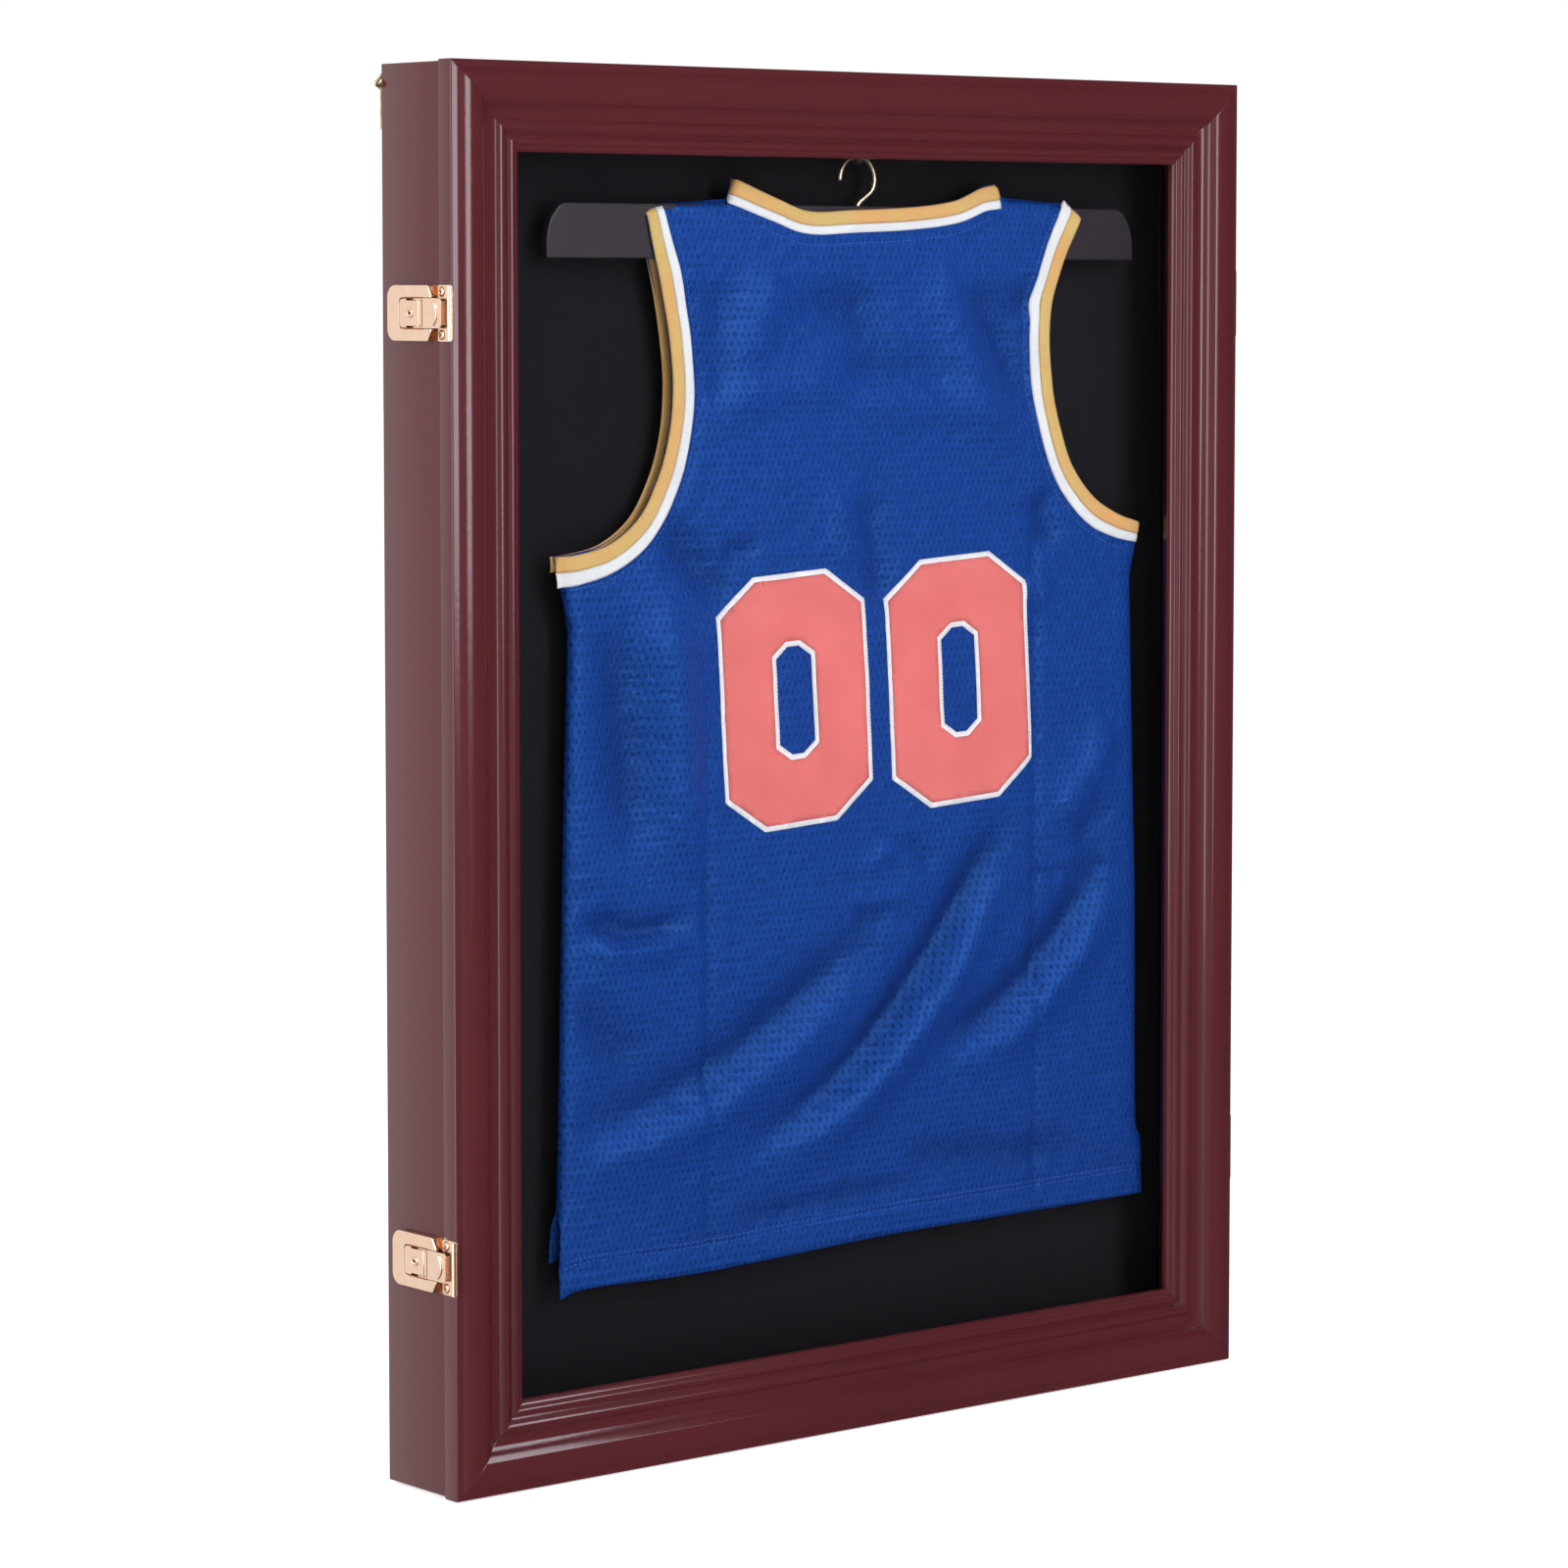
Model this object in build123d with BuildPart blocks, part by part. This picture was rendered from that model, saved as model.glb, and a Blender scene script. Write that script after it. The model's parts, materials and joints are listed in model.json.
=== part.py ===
from build123d import *
from math import cos, radians, sin
import os

# A hinged, glazed display case for a tank-style jersey on a hanger.
# X runs to the right of someone facing the glazed door, Y runs back to the wall and Z runs up.
# The origin is the middle of the case's back plane, where it meets the wall. Millimetres.

os.makedirs("parts", exist_ok=True)

# ---- driving dimensions: case and door ------------------------------------------------------
door_width = 600.0
door_height = 800.0
door_thickness = 14.5
door_overhang = 1.0           # the door stands this far outside the case all round
door_gap = 0.5                # between the case's front edges and the back of the door
case_depth = 55.0
board_thickness = 17.0
felt_thickness = 1.0
back_recess = 15.5            # from the case's back plane in to the back panel
back_panel_thickness = 5.0
back_felt_thickness = 1.5
back_felt_clearance = 0.2
rabbet_width = 6.0            # step in the boards that the back panel rests against
panel_clearance = 0.5

# ---- driving dimensions: door moulding, glazing and its beads --------------------------------
moulding_width = 50.0
glass_rabbet_width = 10.0
acrylic_thickness = 2.5
acrylic_clearance = 0.5
bead_thickness = 4.0
bead_round = 0.8
bead_overlap = 7.0            # how far a glazing bead covers the acrylic
bead_landing = 6.0            # how far it lies on the moulding's back

# ---- driving dimensions: nails and screws -----------------------------------------------------
nail_radius = 0.8
nail_sink = 1.0               # nail heads are filled over this far under the surface
case_nail_length = 32.0
case_nail_edge = 13.75        # from the boards' front and back edges to the two rows of nails
door_nail_length = 26.0
door_nail_edge = 9.0          # from the door's top and bottom edges
door_nail_depth = 5.5         # in front of the door's back face
# each screw is its shank radius, length under the head, head radius and head height
panel_screw = (1.2, 14.0, 2.4, 0.8)
strap_screw = (1.3, 14.0, 2.6, 1.0)
hinge_screw = (1.4, 13.0, 2.6, 0.8)
latch_screw = (1.2, 12.0, 2.2, 0.8)
keeper_screw = (1.2, 12.0, 2.4, 0.9)
head_taper = 20               # degrees that the sides of a screw head lean in
panel_screw_end = 153.0       # from the inner corners of the case to the outer panel screws on its sides
panel_screw_side = 141.0      # and to those along its top and bottom

# ---- driving dimensions: butt hinges ---------------------------------------------------------
hinge_end_room = 135.0        # from the door's top and bottom edges to the middle of each hinge
hinge_leaf_length = 40.0
hinge_leaf_width = 24.0
hinge_leaf_thickness = 1.2
hinge_leaf_margin = 3.8       # from the door leaf to the door's front, clear of its rounded edge
hinge_pin_radius = 1.0
hinge_pin_cap = 1.2
hinge_barrel_radius = 2.0
hinge_running_clearance = 0.05
hinge_swing_clearance = 0.2
hinge_screw_inset = 7.0       # from each end of a leaf to its screw

# ---- driving dimensions: draw latches ---------------------------------------------------------
upper_latch_room = 139.0      # from the door's top edge to the middle of the upper latch
lower_latch_room = 131.5      # from the door's bottom edge to the middle of the lower latch
latch_plate = 1.0
latch_base_plate = 0.8
latch_rise = 5.0              # outer face of the cover above the side of the case
cover_chamfer = 0.4
cover_corner = 7.0
lever_half_width = 8.0
lever_neck_step = 1.0         # the lever is this much narrower each side past its shoulders
lever_cheek = 1.2             # thickness of the lever's two folded sides
lever_corner = 3.0
lever_clearance = 0.5
slot_clearance = 0.6          # between the lever and the sides of the slot in the cover
hook_overlap = 0.3            # the hook is this much wider each side than the lever
hook_corner = 3.0
ear_clearance = 0.3
ear_thickness = 1.0
ear_half_width = 2.0
latch_screw_room = 1.9        # from a pivot ear to the middle of a screw
latch_screw_edge = 3.7        # from the middle of a screw to the end of the cover
pivot_drop = 1.0              # pivots lie this far under the inner face of the lever
pivot_radius = 0.7
pivot_wall = 1.3              # metal around a link pin
link_pin_radius = 0.6
pin_running_clearance = 0.05
lock_radius = 3.0
lock_proud = 0.3
lock_cam_thickness = 0.6
lock_cam_width = 1.8
lock_cam_reach = 9.6
key_slot_length = 4.0
key_slot_width = 1.0
keeper_plate = 1.0
keeper_corner = 1.5
keeper_margin = 0.5           # from the keeper to the back and front edges of the door's side
keeper_lip_half_width = 6.5
keeper_roll_radius = 1.5
catch_clearance = 0.3         # between the hook's turned-down end and the keeper's lip
# places along the latch, as distances behind the front edge of the case, and ahead of it where negative
cover_back = 43.5
cover_front = 5.0
cover_nose = 1.4              # the cover's two tongues reach this far beside the lever
base_back = 27.0
base_front = 0.3
lever_tail = 31.6
lever_shoulder = 25.0
lock_middle = 21.2
latch_screw_line = 22.0
link_pin_line = 17.0
pivot_line = 10.5
lever_fold = 10.2
hook_end = -7.6
keeper_screw_line = -4.6

# ---- driving dimensions: wall hangers ---------------------------------------------------------
strap_width = 13.0
strap_length = 24.0
strap_plate = 1.4
strap_margin = 0.5            # from the strap to the outer face of the case
strap_below_top = 12.0        # from the top of the case to the ring's bar
strap_screw_places = (8.0, 18.0)   # below the ring's bar
ring_wire_radius = 0.9
ring_half_width = 10.5
ring_rise = 11.0
ring_bend_radius = 1.2
ring_clearance = 0.1
ring_stand_off = 1.0          # between the ring's bar and the back of the case

# ---- driving dimensions: hanger ---------------------------------------------------------------
hang_x = 18.0                 # the cup hook is screwed in a little to the right of the middle
crown_drop = 42.2             # from the top liner down to the centre of the hanger hook's round crown
crown_radius = 13.3
hook_wire_radius = 1.6
elbow_radius = 5.0
elbow_angle = 55.0
shoulder_radius = 8.0
shoulder_end_angle = 20.0
cup_wire_radius = 1.3
cup_bend_radius = 5.0
cup_tip = 2.0
cup_thread_length = 12.0
cup_collar_radius = 4.0
cup_collar_height = 1.5
hook_rest_clearance = 0.25
bar_side_room = 55.0          # from the side liners to the ends of the hanger bar, on average
bar_drop = 24.8               # from the crown's centre down to the top of the bar's middle
bar_height = 22.5             # at the bar's middle
bar_end_rise = 5.0            # the bar's shoulders and their humps stand above its middle
bar_hump_rise = 9.0
bar_hump_place = 115.0
bar_hump_foot = 62.0
bar_shoulder = 150.0
bar_tip_height = 12.0         # each end slants in a little over this height, then more steeply
bar_tip_slant = 2.0
bar_end_slant = 12.0
bar_thickness = 6.0
bar_offset = -5.0             # the hook stands this far off the middle of the bar
stem_socket_depth = 16.0
ferrule_radius = 3.2
ferrule_height = 2.5

# ---- driving dimensions: jersey, as a flat soft solid -----------------------------------------
jersey_x = 20.0
jersey_thickness = 12.0
jersey_clearance = 0.4
jersey_back_room = 7.0        # from the felt at the back to the jersey
hem_side_room = 52.0          # from the side liners to the ends of the hem
hem_floor_room = 84.5         # from the bottom liner up to the hem
neck_middle_rise = 3.5        # heights above the top of the bar's middle
neck_tip_rise = 23.5
shoulder_rise = 11.5
shoulder_corner = 4.0
shoulder_corner_drop = 5.5
shoulder_inset = 64.0         # from the side of the hem in to the outer end of a shoulder
shoulder_width = 63.5
shoulder_slant = 12.0
armhole_inset = 83.0          # from the side of the hem in to the narrowest part of the body
armhole_middle = 108.0        # depths below the outer end of a shoulder
armhole_foot = 188.0
armhole_foot_inset = 47.0
armpit = 198.0
armpit_inset = 2.0
waist = 260.0
waist_inset = 11.5
hip = 385.0
hip_inset = 7.0

# ---- places worked out from the sizes above ---------------------------------------------------
case_half_width = door_width / 2 - door_overhang
case_half_height = door_height / 2 - door_overhang
inner_half_width = case_half_width - board_thickness
inner_half_height = case_half_height - board_thickness
liner_half_width = inner_half_width - felt_thickness
liner_half_height = inner_half_height - felt_thickness
case_front = -case_depth
door_back = -(case_depth + door_gap)
door_front = door_back - door_thickness
panel_front = -(back_recess + back_panel_thickness)
felt_front = panel_front - back_felt_thickness
glass_rabbet = moulding_width - glass_rabbet_width
hang_y = felt_front - jersey_back_room - jersey_thickness / 2
crown_height = liner_half_height - crown_drop
bar_middle_top = crown_height - bar_drop


def save(piece, name):
    """Label a finished sub-part and write its own STEP file."""
    piece.part.label = name
    export_step(piece.part, f"parts/{name}.step")


def sides(half_width, half_height):
    """Planes across the four rails of a rectangle: x inward from the edge, y back, z along."""
    return {
        "left": (Plane(origin=(-half_width, 0, 0), x_dir=(1, 0, 0), z_dir=(0, 0, 1)), half_height),
        "right": (Plane(origin=(half_width, 0, 0), x_dir=(-1, 0, 0), z_dir=(0, 0, -1)), half_height),
        "top": (Plane(origin=(0, 0, half_height), x_dir=(0, 0, -1), z_dir=(1, 0, 0)), half_width),
        "bottom": (Plane(origin=(0, 0, -half_height), x_dir=(0, 0, 1), z_dir=(-1, 0, 0)), half_width),
    }


def mitre_ends(across, half_length):
    """Cut both ends of the rail being built at 45 degrees, inward from its outer edge."""
    for end in (1, -1):
        corner = across.origin + across.z_dir * (end * half_length)
        split(bisect_by=Plane(origin=corner, z_dir=across.x_dir + across.z_dir * end), keep=Keep.BOTTOM)


# ---- hinges, latches and hangers: places that several pieces share ---------------------------
hinge_axis_x = door_width / 2 + hinge_barrel_radius + hinge_swing_clearance
hinge_axis_y = (case_front + door_back) / 2
case_leaf_front = hinge_axis_y + hinge_barrel_radius + hinge_swing_clearance
door_leaf_back = hinge_axis_y - hinge_barrel_radius - hinge_swing_clearance
door_leaf_width = door_leaf_back - door_front - hinge_leaf_margin
hinge_height = door_height / 2 - hinge_end_room
hinge_heights = {"upper": hinge_height, "lower": -hinge_height}
hinge_screw_spread = hinge_leaf_length / 2 - hinge_screw_inset
case_leaf_middle = case_leaf_front + hinge_leaf_width / 2
door_leaf_middle = door_leaf_back - door_leaf_width / 2
latch_heights = {"upper": door_height / 2 - upper_latch_room, "lower": lower_latch_room - door_height / 2}
slot_half_width = lever_half_width + slot_clearance
ear_inner = slot_half_width + ear_clearance
ear_outer = ear_inner + ear_thickness
latch_screw_spread = ear_outer + latch_screw_room
latch_half = latch_screw_spread + latch_screw_edge
strap_center = case_half_width - strap_width / 2 - strap_margin
ring_bar_height = case_half_height - strap_below_top
ring_bar_back = ring_wire_radius + ring_clearance + ring_stand_off
cup_shank_y = hang_y + cup_bend_radius


def screw_group(plane, places, radius, length, head_radius, head_height):
    """Pan-head screws in the part being built: heads rise along the plane, shanks go behind it."""
    with BuildSketch(plane) as shanks:
        with Locations(*places):
            Circle(radius)
    extrude(shanks.sketch, amount=-length)
    with BuildSketch(plane) as heads:
        with Locations(*places):
            Circle(head_radius)
    extrude(heads.sketch, amount=head_height, taper=head_taper)


def facing(x, outward, y=0.0):
    """A plane on a side face: its x runs back along Y, its y along Z times outward."""
    return Plane(origin=(x, y, 0), x_dir=(0, 1, 0), z_dir=(outward, 0, 0))


# ==== fasteners, made first so that the pieces can be bored for them ===========================
def corner_nails(start, length, height, rows):
    """Nails along X through the side pieces into the ends of the top and bottom ones."""
    for sx in (-1, 1):
        with BuildSketch(facing(sx * start, sx)) as nails:
            with Locations(*[(y, z) for y in rows for z in (-height, height)]):
                Circle(nail_radius)
        extrude(nails.sketch, amount=-length)


with BuildPart() as case_corner_nails:
    corner_nails(case_half_width - nail_sink, case_nail_length, case_half_height - board_thickness / 2,
                 (-case_nail_edge, case_front + case_nail_edge))
save(case_corner_nails, "case_corner_nails")

with BuildPart() as door_corner_nails:
    corner_nails(door_width / 2 - nail_sink, door_nail_length, door_height / 2 - door_nail_edge,
                 (door_back - door_nail_depth,))
save(door_corner_nails, "door_corner_nails")

panel_screw_x = inner_half_width + rabbet_width / 2
panel_screw_z = inner_half_height + rabbet_width / 2
panel_screw_places = (
    [(sx * panel_screw_x, sz * (inner_half_height - panel_screw_end)) for sx in (-1, 1) for sz in (-1, 0, 1)]
    + [(sx * (inner_half_width - panel_screw_side), sz * panel_screw_z) for sx in (-1, 1) for sz in (-1, 1)]
)
with BuildPart() as back_panel_screws:
    screw_group(Plane(origin=(0, -back_recess, 0), x_dir=(1, 0, 0), z_dir=(0, 1, 0)),
                panel_screw_places, *panel_screw)
save(back_panel_screws, "back_panel_screws")

with BuildPart() as strap_screws:
    screw_group(Plane(origin=(0, strap_plate, 0), x_dir=(1, 0, 0), z_dir=(0, 1, 0)),
                [(sx * strap_center, drop - ring_bar_height) for sx in (-1, 1) for drop in strap_screw_places],
                *strap_screw)
save(strap_screws, "strap_screws")

hinge_screw_heights = [h + s * hinge_screw_spread for h in hinge_heights.values() for s in (-1, 1)]
with BuildPart() as hinge_case_screws:
    screw_group(facing(case_half_width + hinge_leaf_thickness, 1),
                [(case_leaf_middle, h) for h in hinge_screw_heights], *hinge_screw)
save(hinge_case_screws, "hinge_case_screws")

with BuildPart() as hinge_door_screws:
    screw_group(facing(door_width / 2 + hinge_leaf_thickness, 1),
                [(door_leaf_middle, h) for h in hinge_screw_heights], *hinge_screw)
save(hinge_door_screws, "hinge_door_screws")

latch_screw_heights = [h + s * latch_screw_spread for h in latch_heights.values() for s in (-1, 1)]
with BuildPart() as latch_base_screws:
    screw_group(facing(-case_half_width - latch_base_plate, -1),
                [(case_front + latch_screw_line, -h) for h in latch_screw_heights], *latch_screw)
save(latch_base_screws, "latch_base_screws")

with BuildPart() as keeper_screws:
    screw_group(facing(-door_width / 2 - keeper_plate, -1),
                [(case_front + keeper_screw_line, -h) for h in latch_screw_heights], *keeper_screw)
save(keeper_screws, "keeper_screws")

# ==== cup hook: thread into the top board, collar, and a bend open to the front ================
crown_top = crown_height + crown_radius
cup_bend_bottom = crown_top - hook_wire_radius - hook_rest_clearance - cup_wire_radius
cup_bend_center = cup_bend_bottom + cup_bend_radius
cup_top = inner_half_height + cup_thread_length
with BuildPart() as cup_hook:
    with BuildLine(Plane.YZ.offset(hang_x)) as cup_path:
        shank = Line((cup_shank_y, cup_top), (cup_shank_y, cup_bend_center))
        bend = JernArc(shank @ 1, shank % 1, cup_bend_radius, -180)
        Line(bend @ 1, bend @ 1 + (bend % 1) * cup_tip)
    with BuildSketch(Plane(origin=(hang_x, cup_shank_y, cup_top), z_dir=(0, 0, -1))):
        Circle(cup_wire_radius)
    sweep(path=cup_path.wires()[0])
    with BuildSketch(Plane.XY.offset(liner_half_height - cup_collar_height)):
        with Locations((hang_x, cup_shank_y)):
            Circle(cup_collar_radius)
    extrude(amount=cup_collar_height)
save(cup_hook, "cup_hook")

# ==== case boards: mitred, with a rabbet at the back for the panel ============================
case_sides = sides(case_half_width, case_half_height)
board_fasteners = (case_corner_nails, back_panel_screws, strap_screws, hinge_case_screws,
                   latch_base_screws, cup_hook)
for side, (across, half_length) in case_sides.items():
    with BuildPart() as board:
        with BuildSketch(across):
            with BuildLine():
                Polyline((0, case_front), (board_thickness, case_front), (board_thickness, panel_front),
                         (board_thickness - rabbet_width, panel_front), (board_thickness - rabbet_width, 0),
                         (0, 0), close=True)
            make_face()
        extrude(amount=half_length, both=True)
        mitre_ends(across, half_length)
        for fasteners in board_fasteners:
            add(fasteners.part, mode=Mode.SUBTRACT)
    save(board, f"case_{side}_board")

liner_sides = sides(inner_half_width, inner_half_height)
for side, (across, half_length) in liner_sides.items():
    with BuildPart() as liner:
        with BuildSketch(across):
            with Locations((felt_thickness / 2, (case_front + felt_front) / 2)):
                Rectangle(felt_thickness, felt_front - case_front)
        extrude(amount=half_length, both=True)
        mitre_ends(across, half_length)
        add(cup_hook.part, mode=Mode.SUBTRACT)
    save(liner, f"felt_liner_{side}")

with BuildPart() as back_panel:
    with BuildSketch(Plane.XZ.offset(back_recess)):
        Rectangle(2 * (inner_half_width + rabbet_width - panel_clearance),
                  2 * (inner_half_height + rabbet_width - panel_clearance))
    extrude(amount=back_panel_thickness)
    add(back_panel_screws.part, mode=Mode.SUBTRACT)
save(back_panel, "back_panel")

with BuildPart() as felt_backing:
    with BuildSketch(Plane.XZ.offset(-panel_front)):
        Rectangle(2 * (inner_half_width - back_felt_clearance), 2 * (inner_half_height - back_felt_clearance))
    extrude(amount=back_felt_thickness)
save(felt_backing, "felt_backing")

# ==== door: four mitred lengths of one moulding ================================================
# Each point of the section is (distance in from the outer edge, drop behind the crest). The crest
# takes what width the edge and the inner steps leave, and the inner steps are placed from the sight edge.
crest_start = 4.0
crest_end = 26.6
crest_flank = 4.4
crest_lean = 0.3
crest_top = (crest_start + moulding_width - crest_end) / 2 + crest_lean


def section(inward, drop):
    return (inward, door_front + drop)


def inner(outward_from_sight, drop):
    return section(moulding_width - outward_from_sight, drop)


door_sides = sides(door_width / 2, door_height / 2)
door_fasteners = (door_corner_nails, hinge_door_screws, keeper_screws)
for side, (across, half_length) in door_sides.items():
    with BuildPart() as rail:
        with BuildSketch(across):
            with BuildLine():
                Line((0, door_back), section(0, 3.4))
                ThreePointArc(section(0, 3.4), section(0.3, 2.8), section(1.0, 2.5))
                Line(section(1.0, 2.5), section(crest_start, 2.4))
                ThreePointArc(section(crest_start, 2.4), section(crest_start + crest_flank, 0.5),
                              section(crest_top, 0))
                ThreePointArc(section(crest_top, 0), inner(crest_end + crest_flank, 0.8), inner(crest_end, 2.8))
                Line(inner(crest_end, 2.8), inner(26.2, 3.9))
                ThreePointArc(inner(26.2, 3.9), inner(22.6, 5.7), inner(17.6, 5.6))
                ThreePointArc(inner(17.6, 5.6), inner(14.0, 4.1), inner(10.4, 6.2))
                Line(inner(10.4, 6.2), inner(8.8, 6.7))
                ThreePointArc(inner(8.8, 6.7), inner(6.0, 5.4), inner(3.3, 6.9))
                ThreePointArc(inner(3.3, 6.9), inner(1.3, 7.5), inner(0, 9.0))
                Line(inner(0, 9.0), (moulding_width, door_back - acrylic_thickness))
                Line((moulding_width, door_back - acrylic_thickness),
                     (glass_rabbet, door_back - acrylic_thickness))
                Line((glass_rabbet, door_back - acrylic_thickness), (glass_rabbet, door_back))
                Line((glass_rabbet, door_back), (0, door_back))
            make_face()
        extrude(amount=half_length, both=True)
        mitre_ends(across, half_length)
        for fasteners in door_fasteners:
            add(fasteners.part, mode=Mode.SUBTRACT)
    save(rail, f"door_{side}_{'stile' if side in ('left', 'right') else 'rail'}")

with BuildPart() as acrylic_panel:
    with BuildSketch(Plane.XZ.offset(-door_back)):
        Rectangle(door_width - 2 * (glass_rabbet + acrylic_clearance),
                  door_height - 2 * (glass_rabbet + acrylic_clearance))
    extrude(amount=acrylic_thickness)
save(acrylic_panel, "acrylic_panel")

bead_outer = glass_rabbet - bead_landing
bead_width = bead_landing + bead_overlap
bead_sides = sides(door_width / 2 - bead_outer, door_height / 2 - bead_outer)
for side, (across, half_length) in bead_sides.items():
    with BuildPart() as bead:
        with BuildSketch(across):
            with Locations((bead_width / 2, door_back + bead_thickness / 2)):
                RectangleRounded(bead_width, bead_thickness, bead_round)
        extrude(amount=half_length, both=True)
        mitre_ends(across, half_length)
    save(bead, f"glazing_bead_{side}")

# ==== butt hinges on the right: three knuckles, the middle one the door's ======================
knuckle = hinge_leaf_length / 3
for level, height in hinge_heights.items():
    barrel_place = (hinge_axis_x, hinge_axis_y)
    with BuildPart() as case_leaf:
        with BuildSketch(facing(case_half_width, 1)):
            with Locations((case_leaf_middle, height)):
                Rectangle(hinge_leaf_width, hinge_leaf_length)
        extrude(amount=hinge_leaf_thickness)
        for end in (-1, 1):
            with BuildSketch(Plane.XY.offset(height + end * knuckle)):
                with Locations(barrel_place):
                    Circle(hinge_barrel_radius)
                with BuildLine():
                    Polyline((case_half_width, case_leaf_front), (case_half_width, case_front),
                             (hinge_axis_x, case_front), (hinge_axis_x, hinge_axis_y + hinge_barrel_radius),
                             (case_half_width + hinge_leaf_thickness, case_leaf_front), close=True)
                make_face()
            extrude(amount=knuckle / 2 - hinge_running_clearance, both=True)
        with BuildSketch(Plane.XY.offset(height)):
            with Locations(barrel_place):
                Circle(hinge_pin_radius)
        extrude(amount=hinge_leaf_length, both=True, mode=Mode.SUBTRACT)
        add(hinge_case_screws.part, mode=Mode.SUBTRACT)
    save(case_leaf, f"{level}_hinge_case_leaf")

    with BuildPart() as door_leaf:
        with BuildSketch(facing(door_width / 2, 1)):
            with Locations((door_leaf_middle, height)):
                Rectangle(door_leaf_width, hinge_leaf_length)
        extrude(amount=hinge_leaf_thickness)
        with BuildSketch(Plane.XY.offset(height)):
            with Locations(barrel_place):
                Circle(hinge_barrel_radius)
            with BuildLine():
                Polyline((door_width / 2, door_leaf_back), (door_width / 2, door_back),
                         (hinge_axis_x, door_back), (hinge_axis_x, hinge_axis_y - hinge_barrel_radius),
                         (door_width / 2 + hinge_leaf_thickness, door_leaf_back), close=True)
            make_face()
        extrude(amount=knuckle / 2 - hinge_running_clearance, both=True)
        with BuildSketch(Plane.XY.offset(height)):
            with Locations(barrel_place):
                Circle(hinge_pin_radius + hinge_running_clearance)
        extrude(amount=hinge_leaf_length, both=True, mode=Mode.SUBTRACT)
        add(hinge_door_screws.part, mode=Mode.SUBTRACT)
    save(door_leaf, f"{level}_hinge_door_leaf")

    with BuildPart() as hinge_pin:
        with BuildSketch(Plane.XY.offset(height)):
            with Locations(barrel_place):
                Circle(hinge_pin_radius)
        extrude(amount=hinge_leaf_length / 2, both=True)
        for end in (-1, 1):
            with BuildSketch(Plane.XY.offset(height + end * (hinge_leaf_length + hinge_pin_cap) / 2)):
                with Locations(barrel_place):
                    Circle(hinge_barrel_radius)
            extrude(amount=hinge_pin_cap / 2, both=True)
    save(hinge_pin, f"{level}_hinge_pin")


# ==== draw latches on the left =================================================================
def outward(behind, rise):
    """A point in the latch's XY section: distance behind the case's front edge, height above its side."""
    return (-case_half_width - rise, case_front + behind)


def on_face(behind, across):
    """A point on the latch's face: distance behind the case's front edge, height off the latch's middle."""
    return (case_depth - behind, across)


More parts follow.
